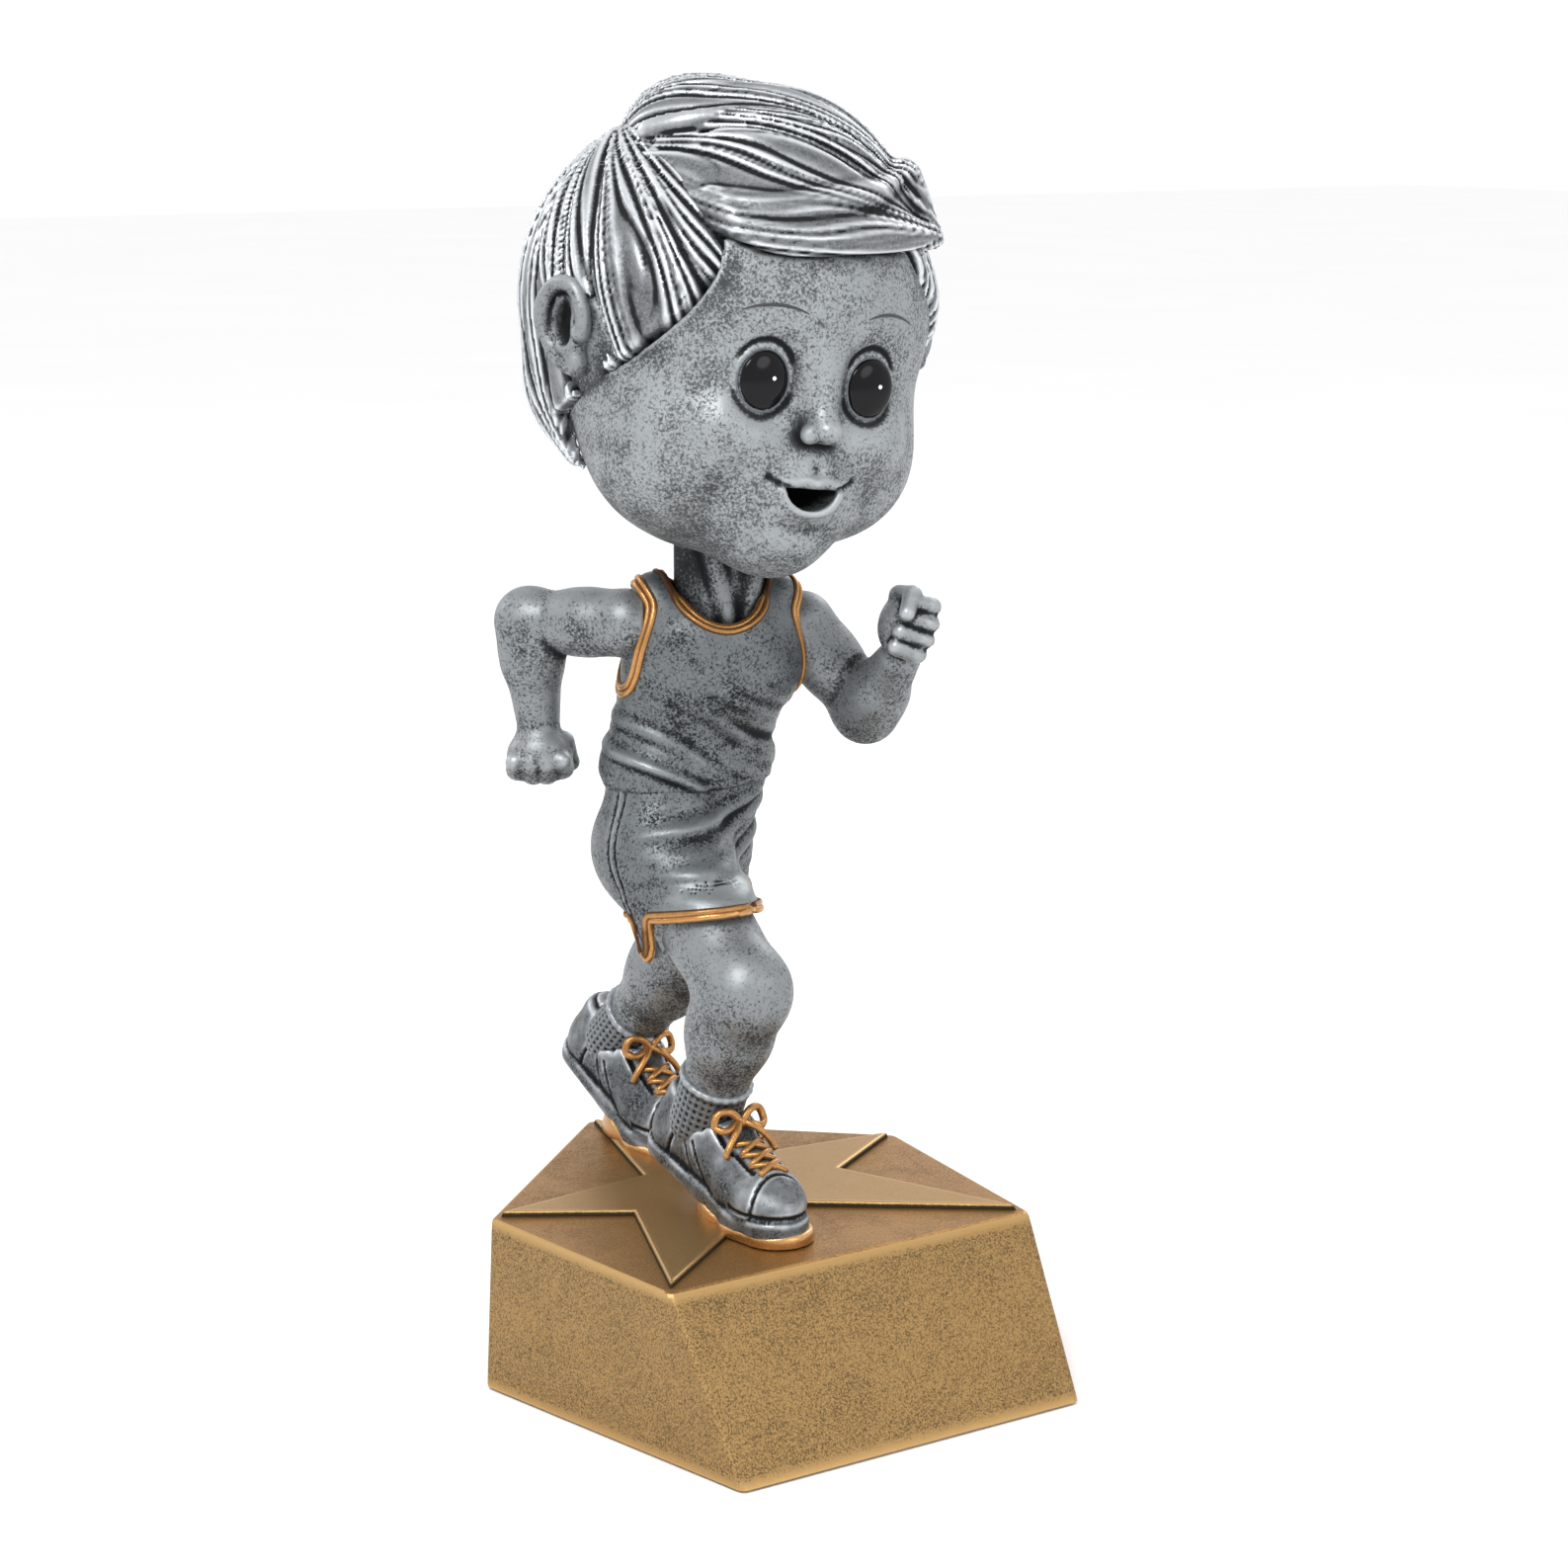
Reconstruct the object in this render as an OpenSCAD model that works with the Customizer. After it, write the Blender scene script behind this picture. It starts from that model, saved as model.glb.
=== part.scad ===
// Running-figure bobblehead trophy: a cast figure on a five-cornered star base, its hollow head on a spring.
// Millimetres, +Z up, the figure faces -Y and its right side is -X. The origin is on the underside.

/* [Base] */
// Half width of the block at its two side corners, along the bottom
side_corner_x = 29.3; // [26:0.1:34]
// Distance of the two front corners in front of the centre, along the bottom
front_corner_y = 38.9; // [34:0.1:44]
// How far the front face leans back from bottom to top
front_lean = 11.2; // [6:0.1:16]
// Height of the block
base_h = 18.2; // [14:0.1:22]
// Height of the star above the block
star_h = 0.65; // [0.4:0.05:1.2]
// Thickness of the felt under the block
felt_t = 1; // [0.6:0.1:2]

/* [Figure] */
// Radius of the shins
shin_r = 4.3; // [3.6:0.1:4.8]
// Radius of the knees
knee_r = 4.8; // [4.2:0.1:5.2]
// Radius of the thighs where they leave the shorts
thigh_r = 5.3; // [4.8:0.1:5.8]
// Radius of the upper arms
arm_r = 3.6; // [3:0.1:4]
// Radius of the neck
neck_r = 5.1; // [4.4:0.1:5.4]
// Length of a shoe
shoe_len = 29; // [26:0.5:31]
// Width of a shoe across the ball of the foot
shoe_w = 9.4; // [8:0.1:10]
// How far the heel of the forward foot is tipped up
right_heel_tip = 15; // [10:1:20]
// How far the heel of the rear foot is tipped up
left_heel_tip = 24; // [18:1:28]

/* [Head] */
// Radius of the skull with its hair
skull_r = 21.4; // [19:0.1:22]
// Height of the top of the hair
top_z = 140; // [138:0.1:142]
// Radius of the hollow inside the head
hollow_r = 16.5; // [14:0.1:17]
// Radius of the hole under the head
neck_hole_r = 8.6; // [8.4:0.1:9]

/* [Spring and pins] */
// Thickness of the spring's wire
wire_d = 0.8; // [0.6:0.05:0.9]
// Radius of the coils at the middle of the wire
coil_r = 3.2; // [3:0.1:3.4]
// Radius of the steel rods in the legs
rod_r = 1.2; // [0.8:0.1:1.4]
// Radius of the steel dowels between castings
dowel_r = 1; // [0.8:0.1:1.2]
// Gap round every rod, dowel and plug
fit_gap = 0.05; // [0.02:0.01:0.1]

/* [Hidden] */

silver = "#9a9fa3";
gold = "#b08a4a";
steel = "#c8ccd0";
plastic = "#e8e4da";
felt = "#1f2226";

round_fn = 48;
limb_fn = 20;
head_fn = 32;
far = 60;
face_gap = 0.02;

// Block corners, right to left round the front, and the back corner
bottom_points = [
    [-21.6, -front_corner_y], [21.6, -front_corner_y], [side_corner_x, 0.2], [0, 29], [-side_corner_x, 0.2]
];
top_points = [
    [-23.2, front_lean - front_corner_y], [23.2, front_lean - front_corner_y], [26.9, 2.9], [0, 27.7], [-26.9, 2.9]
];
star_notches = [[0, -10], [13.6, -5], [6.2, 5.1], [-6.2, 5.1], [-13.6, -5]];
star_reach = 0.965;
felt_proud = 0.2;
star_top = base_h + star_h;

// Feet: the ball of each foot stands on the star, with the toe flat and the heel tipped up
right_ball = [-4.8, -15.6, star_top];
left_ball = [1.5, 15, star_top];
toe_len = shoe_len * 0.33;
heel_len = shoe_len - toe_len;
sole_t = 1.8;
upper_h = 6.6;
collar_s = heel_len * 0.52;
collar_r = 4.5;
fill_share = 0.42;

// Legs
right_ankle = [-5, -8.6, 31.2];
right_knee = [-5.5, -14.6, 44.5];
right_hip = [-5.6, 1.2, 56.5];
left_ankle = [1.6, 20.4, 31.4];
left_knee = [2.8, 8.6, 43.6];
left_hip = [0.6, 6, 56.5];
right_hem = right_knee + (right_hip - right_knee) * 0.42;
left_hem = left_knee + (left_hip - left_knee) * 0.5;
sock_r = shin_r - 0.2;
rod_foot_z = 8;
right_rod_xy = [-5, -10.2];
left_rod_xy = [1.7, 17.8];
rod_top_z = 37.5;

// Trunk
waist_z = 65.5;
waist_a = [-4.7, 3, waist_z];
waist_b = [1.5, 3, waist_z];
waist_mid = (waist_a + waist_b) / 2;
waist_r = 6;
chest_a = [-4.4, 1.6, 77.5];
chest_b = [4.2, -1.8, 77];
chest_r = 6.3;
right_strap = [-6.6, 2.2, 84.2];
left_strap = [6.8, -2.8, 83.4];
strap_r = 2.6;

// Arms: the seams stand at the armholes, square to each upper arm
right_seam = [-8.6, 2, 82];
right_seam_dir = [-0.8, 0.6, 0];
right_shoulder = [-9.4, 2.6, 82];
right_elbow = [-15.9, 12, 81.6];
right_wrist = [-14.8, 12.2, 70];
right_fist = [-15.6, 10.6, 66];
left_seam = [7.4, -2.9, 81.2];
left_seam_dir = [0.93, -0.36, 0];
left_shoulder = [9.2, -3.6, 81];
left_elbow = [14.6, -8.2, 71.8];
left_wrist = [13.4, -16, 78.6];
left_fist = [11.8, -20, 83];
elbow_r = arm_r * 0.95;
armhole_gap = 0.12;
wrist_r = 2.6;
fist_r = 3.2;
dowel_reach = 4;
arm_dowel_reach = 1.8;

// Neck, plug and spring
neck_xy = [0.3, -1];
neck_foot_z = 76;
neck_top_z = 93;
plug_flange_t = 1;
plug_stem_r = 2.6;
spring_z0 = neck_top_z + plug_flange_t;
spring_len = 16;
post_z = spring_z0 + spring_len;
wire_r = wire_d / 2;
dead_turns = 1.5;
dead_h = dead_turns * 1.05 * wire_d + wire_r;
live_h = (spring_len - wire_r - dead_h) / 4;
live_turns = 1.75;
wire_sides = 8;
turn_steps = 20;

// Head
hollow_mid = [neck_xy[0], neck_xy[1], 114];
skull_mid = [0.3, 0, top_z - skull_r - 1.2];
cheek_y = -8.5;
cheek_z = 102.8;
cheek_x = 7.2;
cheek_r = 11.8;
chin = [1.4, -14.5, 95.8];
chin_r = 6.2;
nape = [-0.5, 6, 106];
nape_r = 14;
ear_z = 112.6;
ear_out = 20.2;

function unit(v) = v / norm(v);
function coil_point(turn, z) = [coil_r * cos(360 * turn), coil_r * sin(360 * turn), z];

// A rounded limb between two joints, thick at each end as given
module limb(p, q, p_r, q_r, fn = limb_fn) {
    hull() {
        translate(p) sphere(p_r, $fn = fn);
        translate(q) sphere(q_r, $fn = fn);
    }
}

// Turns +Z to a direction and moves the origin to a point
module aimed(p, dir) {
    d = unit(dir);
    translate(p) rotate([0, acos(d[2]), atan2(d[1], d[0])]) children();
}

// Everything past a seam: the half space beyond point p along dir
module beyond(p, dir) {
    aimed(p, dir) translate([-far / 2, -far / 2, 0]) cube([far, far, far]);
}

// A round bar or bore from one point along a direction
module bar(p, dir, r, back, fore) {
    aimed(p, dir) translate([0, 0, -back]) cylinder(h = back + fore, r = r, $fn = round_fn);
}

module star_outline() {
    polygon([for (i = [0:4]) each [top_points[i] * star_reach, star_notches[i]]]);
}

module leg_bores(gap) {
    for (xy = [right_rod_xy, left_rod_xy]) {
        translate([xy[0], xy[1], rod_foot_z - gap])
            cylinder(h = rod_top_z - rod_foot_z + 2 * gap, r = rod_r + gap, $fn = round_fn);
    }
}

module base_block() {
    n = len(bottom_points);
    lower = [for (p = bottom_points) [p[0], p[1], felt_proud]];
    upper = [for (p = top_points) [p[0], p[1], base_h]];
    sides = [for (i = [0:n - 1]) [i, n + i, n + (i + 1) % n, (i + 1) % n]];
    color(gold) difference() {
        union() {
            hull() polyhedron(concat(lower, upper), concat([[0, 1, 2, 3, 4]], [[9, 8, 7, 6, 5]], sides));
            translate([0, 0, base_h - star_h]) linear_extrude(2 * star_h) star_outline();
        }
        translate([0, 0, -1]) linear_extrude(felt_t + 1) felt_outline(0.2);
        leg_bores(fit_gap);
    }
}

module felt_outline(grow = 0) {
    inset = 0.9 + grow / side_corner_x;
    polygon([for (p = bottom_points) p * inset]);
}

module felt_pad() {
    color(felt) linear_extrude(felt_t) felt_outline();
}

// Puts its children in a shoe's own frame: the ball of the foot at the origin, the toe along -Y
module at_heel(ball, tip) {
    translate(ball) rotate([tip, 0, 0]) children();
}

module shoe(ball, tip, ankle, knee) {
    toe_r = shoe_w * 0.4;
    heel_r = shoe_w * 0.41;
    difference() {
        union() {
            translate(ball) hull() {
                translate([0, -1, 0]) cylinder(h = sole_t, r = shoe_w / 2, $fn = limb_fn);
                translate([0, toe_r - toe_len, 0]) cylinder(h = sole_t, r = toe_r, $fn = limb_fn);
            }
            at_heel(ball, tip) hull() {
                translate([-shoe_w / 2, 0, 0]) cube([shoe_w, 1, sole_t]);
                translate([0, heel_len - heel_r, 0]) cylinder(h = sole_t, r = heel_r, $fn = limb_fn);
            }
            translate(ball) hull() {
                translate([0, 0.4, sole_t + 2.1]) sphere(toe_r, $fn = limb_fn);
                translate([0, toe_r - toe_len + 0.4, sole_t + 1.7]) sphere(toe_r - 0.4, $fn = limb_fn);
            }
            at_heel(ball, tip) hull() {
                translate([0, 0.6, sole_t + 2.1]) sphere(toe_r, $fn = limb_fn);
                translate([0, heel_len - heel_r - 0.3, sole_t + 2]) sphere(heel_r - 0.3, $fn = limb_fn);
                translate([0, collar_s, upper_h]) sphere(collar_r, $fn = limb_fn);
            }
        }
        beyond(ankle, knee - ankle);
        leg_bores(fit_gap);
    }
}

module right_shoe() {
    color(silver) shoe(right_ball, right_heel_tip, right_ankle, right_knee);
}

module left_shoe() {
    color(silver) shoe(left_ball, left_heel_tip, left_ankle, left_knee);
}

// Cast wedge that fills the space between the star and a tipped-up sole
module footing(ball, tip) {
    fill_len = heel_len * fill_share;
    difference() {
        translate([ball[0], ball[1], star_top]) linear_extrude(fill_len * sin(tip)) {
            translate([-shoe_w * 0.38, 0]) square([shoe_w * 0.76, fill_len - shoe_w * 0.3]);
            translate([0, fill_len - shoe_w * 0.3]) circle(shoe_w * 0.38, $fn = round_fn);
        }
        at_heel(ball, tip) translate([-far / 2, -far / 2, -face_gap]) cube([far, far, far]);
        translate([ball[0], ball[1] - 1, base_h]) cylinder(h = far, r = shoe_w / 2 + face_gap, $fn = round_fn);
        leg_bores(fit_gap);
    }
}

module right_footing() {
    color(gold) footing(right_ball, right_heel_tip);
}

module left_footing() {
    color(gold) footing(left_ball, left_heel_tip);
}

module leg(ankle, knee, hip, hem) {
    difference() {
        union() {
            limb(ankle - unit(knee - ankle) * 2, knee, sock_r, knee_r);
            limb(knee, hip, knee_r, thigh_r);
        }
        beyond(ankle, ankle - knee);
        beyond(hem, hip - knee);
        bar(hem, hip - knee, dowel_r + fit_gap, dowel_reach + fit_gap, 1);
        leg_bores(fit_gap);
    }
}

module right_leg() {
    color(silver) leg(right_ankle, right_knee, right_hip, right_hem);
}

module left_leg() {
    color(silver) leg(left_ankle, left_knee, left_hip, left_hem);
}

module leg_rod(xy) {
    color(steel) translate([xy[0], xy[1], rod_foot_z]) cylinder(h = rod_top_z - rod_foot_z, r = rod_r, $fn = round_fn);
}

module right_leg_rod() {
    leg_rod(right_rod_xy);
}

module left_leg_rod() {
    leg_rod(left_rod_xy);
}

module dowel(p, dir, reach = dowel_reach) {
    color(steel) bar(p, dir, dowel_r, reach, reach);
}

module dowel_bore(p, dir, reach = dowel_reach) {
    bar(p, dir, dowel_r + fit_gap, reach + fit_gap, reach + fit_gap);
}

module right_hip_dowel() {
    dowel(right_hem, right_hip - right_knee);
}

module left_hip_dowel() {
    dowel(left_hem, left_hip - left_knee);
}

module shorts() {
    trouser_r = thigh_r + 1.4;
    color(silver) difference() {
        union() {
            hull() {
                translate(waist_a) sphere(waist_r, $fn = limb_fn);
                translate(waist_b) sphere(waist_r, $fn = limb_fn);
                translate(right_hip) sphere(trouser_r, $fn = limb_fn);
                translate(left_hip) sphere(trouser_r, $fn = limb_fn);
            }
            limb(right_hip, right_knee, trouser_r, trouser_r);
            limb(left_hip, left_knee, trouser_r, trouser_r - 0.4);
        }
        beyond([0, 0, waist_z], [0, 0, 1]);
        beyond(right_hem, right_knee - right_hip);
        beyond(left_hem, left_knee - left_hip);
        dowel_bore(right_hem, right_hip - right_knee);
        dowel_bore(left_hem, left_hip - left_knee);
        dowel_bore(waist_mid, [0, 0, 1]);
    }
}

module waist_dowel() {
    dowel(waist_mid, [0, 0, 1]);
}

// The room that an upper arm takes out of the side of the chest
module armhole(seam, dir, shoulder, elbow) {
    intersection() {
        limb(shoulder + (shoulder - elbow) * 0.1, elbow, arm_r + armhole_gap, elbow_r + armhole_gap);
        beyond(seam, dir);
    }
}

module torso() {
    color(silver) difference() {
        union() {
            hull() {
                translate(waist_a) sphere(waist_r + 0.6, $fn = limb_fn);
                translate(waist_b) sphere(waist_r + 0.6, $fn = limb_fn);
                translate(chest_a) sphere(chest_r, $fn = limb_fn);
                translate(chest_b) sphere(chest_r, $fn = limb_fn);
            }
            hull() {
                translate(chest_a) sphere(chest_r, $fn = limb_fn);
                translate(right_strap) sphere(strap_r, $fn = limb_fn);
                translate(left_strap) sphere(strap_r, $fn = limb_fn);
                translate(chest_b) sphere(chest_r, $fn = limb_fn);
            }
        }
        beyond([0, 0, waist_z], [0, 0, -1]);
        armhole(right_seam, right_seam_dir, right_shoulder, right_elbow);
        armhole(left_seam, left_seam_dir, left_shoulder, left_elbow);
        dowel_bore(right_seam, right_seam_dir, arm_dowel_reach);
        dowel_bore(left_seam, left_seam_dir, arm_dowel_reach);
        dowel_bore(waist_mid, [0, 0, 1]);
        translate([neck_xy[0], neck_xy[1], neck_foot_z]) cylinder(h = far, r = neck_r + fit_gap, $fn = round_fn);
    }
}

module arm(seam, dir, shoulder, elbow, wrist, fist) {
    difference() {
        union() {
            limb(shoulder + (shoulder - elbow) * 0.1, elbow, arm_r, elbow_r);
            limb(elbow, wrist, elbow_r, wrist_r);
            limb(wrist, fist, wrist_r, fist_r);
        }
        beyond(seam, -dir);
        dowel_bore(seam, dir, arm_dowel_reach);
    }
}

module right_arm() {
    color(silver) arm(right_seam, right_seam_dir, right_shoulder, right_elbow, right_wrist, right_fist);
}

module left_arm() {
    color(silver) arm(left_seam, left_seam_dir, left_shoulder, left_elbow, left_wrist, left_fist);
}

module right_arm_dowel() {
    dowel(right_seam, right_seam_dir, arm_dowel_reach);
}

module left_arm_dowel() {
    dowel(left_seam, left_seam_dir, arm_dowel_reach);
}

module neck() {
    color(silver) translate([neck_xy[0], neck_xy[1], 0]) difference() {
        translate([0, 0, neck_foot_z]) cylinder(h = neck_top_z - neck_foot_z, r = neck_r, $fn = round_fn);
        translate([0, 0, neck_top_z - 8]) cylinder(h = far, r = plug_stem_r + fit_gap, $fn = round_fn);
    }
}

// Plug glued in the neck: its flange carries the spring, and its nose holds the first coils
module neck_plug() {
    nose_r = coil_r - wire_r - fit_gap;
    color(plastic) translate([neck_xy[0], neck_xy[1], 0]) {
        translate([0, 0, neck_top_z - 7.5]) cylinder(h = 7.5, r = plug_stem_r, $fn = round_fn);
        translate([0, 0, neck_top_z]) cylinder(h = plug_flange_t, r = coil_r + wire_r + 0.6, $fn = round_fn);
        translate([0, 0, spring_z0]) cylinder(h = dead_h - wire_r, r = nose_r, $fn = round_fn);
    }
}

// One stretch of the spring: a round wire swept along its coils by rings of points
module coils(z0, z1, turn0, turns) {
    steps = round(turns * turn_steps);
    rise = atan2(z1 - z0, 360 * turns * coil_r * PI / 180);
    points = [
        for (i = [0:steps], k = [0:wire_sides - 1])
            let (
                turn = turn0 + turns * i / steps,
                around = 360 * k / wire_sides,
                out = wire_r * cos(around),
                up = wire_r * sin(around),
                mid = coil_point(turn, z0 + (z1 - z0) * i / steps),
                away = [cos(360 * turn), sin(360 * turn), 0],
                lift = [sin(360 * turn) * sin(rise), -cos(360 * turn) * sin(rise), cos(rise)]
            ) mid + away * out + lift * up
    ];
    skin = [
        for (i = [0:steps - 1], k = [0:wire_sides - 1])
            let (next = (k + 1) % wire_sides, a = i * wire_sides, b = a + wire_sides)
            [a + k, a + next, b + next, b + k]
    ];
    start_cap = [for (k = [0:wire_sides - 1]) wire_sides - 1 - k];
    end_cap = [for (k = [0:wire_sides - 1]) steps * wire_sides + k];
    color(steel) translate([neck_xy[0], neck_xy[1], 0]) polyhedron(points, concat(skin, [start_cap, end_cap]));
}

function live_z(i) = spring_z0 + dead_h + i * live_h;
function live_turn(i) = dead_turns + i * live_turns;

module spring_seat_coil() {
    coils(spring_z0 + wire_r + face_gap, live_z(0), 0, dead_turns);
}

module spring_lower_coils() {
    coils(live_z(0), live_z(1), live_turn(0), live_turns);
}

module spring_middle_coils() {
    coils(live_z(1), live_z(2), live_turn(1), live_turns);
}

module spring_upper_coils() {
    coils(live_z(2), live_z(3), live_turn(2), live_turns);
}

module spring_top_coils() {
    coils(live_z(3), live_z(4) - face_gap, live_turn(3), live_turns);
}

// Post glued to the roof of the head's hollow: its flange sits on the spring
module head_post() {
    nose_r = coil_r - wire_r - 0.25;
    color(plastic) {
        intersection() {
            translate([neck_xy[0], neck_xy[1], post_z]) cylinder(h = far, r = coil_r + wire_r + 0.6, $fn = round_fn);
            translate(hollow_mid) sphere(hollow_r - fit_gap, $fn = round_fn);
        }
        translate([neck_xy[0], neck_xy[1], post_z - 2]) cylinder(h = 3, r = nose_r, $fn = round_fn);
    }
}

module head_shell() {
    color(silver) difference() {
        union() {
            hull() {
                translate(skull_mid) sphere(skull_r, $fn = head_fn);
                for (side = [-1, 1]) {
                    translate([side * cheek_x + 0.6, cheek_y, cheek_z]) sphere(cheek_r, $fn = head_fn);
                }
                translate(chin) sphere(chin_r, $fn = head_fn);
                translate(nape) sphere(nape_r, $fn = head_fn);
            }
            limb([-2, 1, top_z - 5.5], [1, 5, top_z - 6], 5.5, 5);
            limb([18.6, -13, 123], [8, -19, 124], 1.8, 2.4);
            limb([-1.4, -23.5, 103.6], [-1, -21, 104.6], 1.9, 2);
            limb([-ear_out, -6, ear_z - 2.4], [-ear_out - 0.4, -4.6, ear_z + 2.2], 2, 2.6);
            limb([ear_out + 0.6, -6, ear_z - 2.4], [ear_out + 1, -4.6, ear_z + 2.2], 2, 2.6);
        }
        translate(hollow_mid) sphere(hollow_r, $fn = round_fn);
        translate([neck_xy[0], neck_xy[1], 80]) cylinder(h = 30, r = neck_hole_r, $fn = round_fn);
    }
}

base_block();
felt_pad();
right_footing();
left_footing();
right_shoe();
left_shoe();
right_leg();
left_leg();
right_leg_rod();
left_leg_rod();
right_hip_dowel();
left_hip_dowel();
shorts();
waist_dowel();
torso();
right_arm();
left_arm();
right_arm_dowel();
left_arm_dowel();
neck();
neck_plug();
spring_seat_coil();
spring_lower_coils();
spring_middle_coils();
spring_upper_coils();
spring_top_coils();
head_post();
head_shell();
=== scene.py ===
"""Looks of the cast running-figure trophy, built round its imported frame. Sculpting is in millimetres."""

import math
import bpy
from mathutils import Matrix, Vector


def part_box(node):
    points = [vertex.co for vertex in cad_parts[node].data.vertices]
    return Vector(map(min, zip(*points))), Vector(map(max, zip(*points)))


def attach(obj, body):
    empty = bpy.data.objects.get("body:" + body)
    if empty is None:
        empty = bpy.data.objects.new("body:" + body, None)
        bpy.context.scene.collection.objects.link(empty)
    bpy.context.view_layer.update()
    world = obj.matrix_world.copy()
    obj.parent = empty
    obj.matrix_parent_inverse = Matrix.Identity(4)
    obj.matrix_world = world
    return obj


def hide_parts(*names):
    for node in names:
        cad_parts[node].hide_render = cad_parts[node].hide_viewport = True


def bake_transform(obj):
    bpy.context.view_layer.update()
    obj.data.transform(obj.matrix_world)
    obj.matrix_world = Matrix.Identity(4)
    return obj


bl_info = {
    "name": "Running-figure trophy",
    "version": (1, 0, 0),
    "blender": (4, 5, 0),
    "location": "3D View > Sidebar > Trophy",
    "description": "Sculpts and finishes the cast figure, its star base and its sprung head",
    "category": "Add Mesh",
}

import bmesh
import bpy
import numpy as np
from mathutils import Matrix, Vector

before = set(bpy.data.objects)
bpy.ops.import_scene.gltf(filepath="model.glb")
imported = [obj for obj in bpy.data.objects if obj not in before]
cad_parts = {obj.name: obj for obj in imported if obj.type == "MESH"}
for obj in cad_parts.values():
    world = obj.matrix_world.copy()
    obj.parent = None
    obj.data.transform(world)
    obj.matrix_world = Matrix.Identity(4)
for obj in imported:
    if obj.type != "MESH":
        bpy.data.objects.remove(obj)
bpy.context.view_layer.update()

MM = 0.001
FAR = 9.0
REACH = 2.5
SLAB_REACH = 90
LAND_SAMPLES = 160
RIPPLE_TERMS = 6
FRONT = -27
AROUND = np.array([d for d in np.ndindex(3, 3, 3) if d != (1, 1, 1)], float) - 1
AROUND = AROUND / np.linalg.norm(AROUND, axis=1, keepdims=True)


# ---------------------------------------------------------------- places taken from the frame


def middle(node):
    """Centre of a frame node in millimetres."""
    low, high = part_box(node)
    return np.array((low + high) / 2) / MM


def shift(node, drawn_at):
    """How far a frame node has moved from the place that its sculpt was drawn at."""
    return middle(node) - np.array(drawn_at, float)


HEAD_MOVED = shift("head_shell", (0.3, -2.04, 114.781))
STAND_MOVED = shift("torso", (-0.398, 0.748, 76.134))

# ---------------------------------------------------------------- sculpting


class Shape:
    """A solid given by its distance function, with the box that it fills, in millimetres."""

    def __init__(self, distance, low, high):
        self.distance = distance
        self.low = np.array(low, float)
        self.high = np.array(high, float)


def ball(centre, radius):
    c = np.array(centre, np.float32)

    def distance(x, y, z):
        return np.sqrt((x - c[0]) ** 2 + (y - c[1]) ** 2 + (z - c[2]) ** 2) - np.float32(radius)

    return Shape(distance, c - radius, c + radius)


def spin(axis, degrees):
    """Rotation about X, Y or Z as a 3 x 3 array."""
    return np.array(Matrix.Rotation(math.radians(degrees), 3, axis), np.float32)


def egg(centre, radii, turn=None):
    """An ellipsoid, turned by a rotation array if one is given."""
    c = np.array(centre, np.float32)
    r = np.array(radii, np.float32)
    m = np.eye(3, dtype=np.float32) if turn is None else np.array(turn, np.float32)
    reach = r if turn is None else np.full(3, r.max())

    def distance(x, y, z):
        dx, dy, dz = x - c[0], y - c[1], z - c[2]
        u = [(m[0, i] * dx + m[1, i] * dy + m[2, i] * dz) / r[i] for i in range(3)]
        k0 = np.sqrt(u[0] ** 2 + u[1] ** 2 + u[2] ** 2)
        k1 = np.sqrt((u[0] / r[0]) ** 2 + (u[1] / r[1]) ** 2 + (u[2] / r[2]) ** 2)
        return k0 * (k0 - 1) / np.maximum(k1, 1e-6)

    return Shape(distance, c - reach, c + reach)


def limb(a, b, a_r, b_r):
    """A round bar between two points, tapering from one radius to the other."""
    a, b = np.array(a, np.float32), np.array(b, np.float32)
    d = b - a
    length2 = max(float(d @ d), 1e-9)

    def distance(x, y, z):
        px, py, pz = x - a[0], y - a[1], z - a[2]
        t = np.clip((px * d[0] + py * d[1] + pz * d[2]) / length2, 0, 1)
        gap = np.sqrt((px - t * d[0]) ** 2 + (py - t * d[1]) ** 2 + (pz - t * d[2]) ** 2)
        return gap - (a_r + (b_r - a_r) * t)

    r = max(a_r, b_r)
    return Shape(distance, np.minimum(a, b) - r, np.maximum(a, b) + r)


def slab(point, normal):
    """Everything behind a plane: the normal points out of the solid."""
    p, n = np.array(point, np.float32), np.array(normal, np.float32)
    n = n / np.linalg.norm(n)

    def distance(x, y, z):
        return (x - p[0]) * n[0] + (y - p[1]) * n[1] + (z - p[2]) * n[2]

    return Shape(distance, p - SLAB_REACH, p + SLAB_REACH)


def both(a, b):
    """The space that two shapes share."""
    return Shape(
        lambda x, y, z: np.maximum(a.distance(x, y, z), b.distance(x, y, z)),
        np.maximum(a.low, b.low),
        np.minimum(a.high, b.high),
    )


def soft_min(a, b, melt):
    if melt <= 0:
        return np.minimum(a, b)
    h = np.maximum(melt - np.abs(a - b), 0) / melt
    return np.minimum(a, b) - h * h * (melt / 4)


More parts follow.
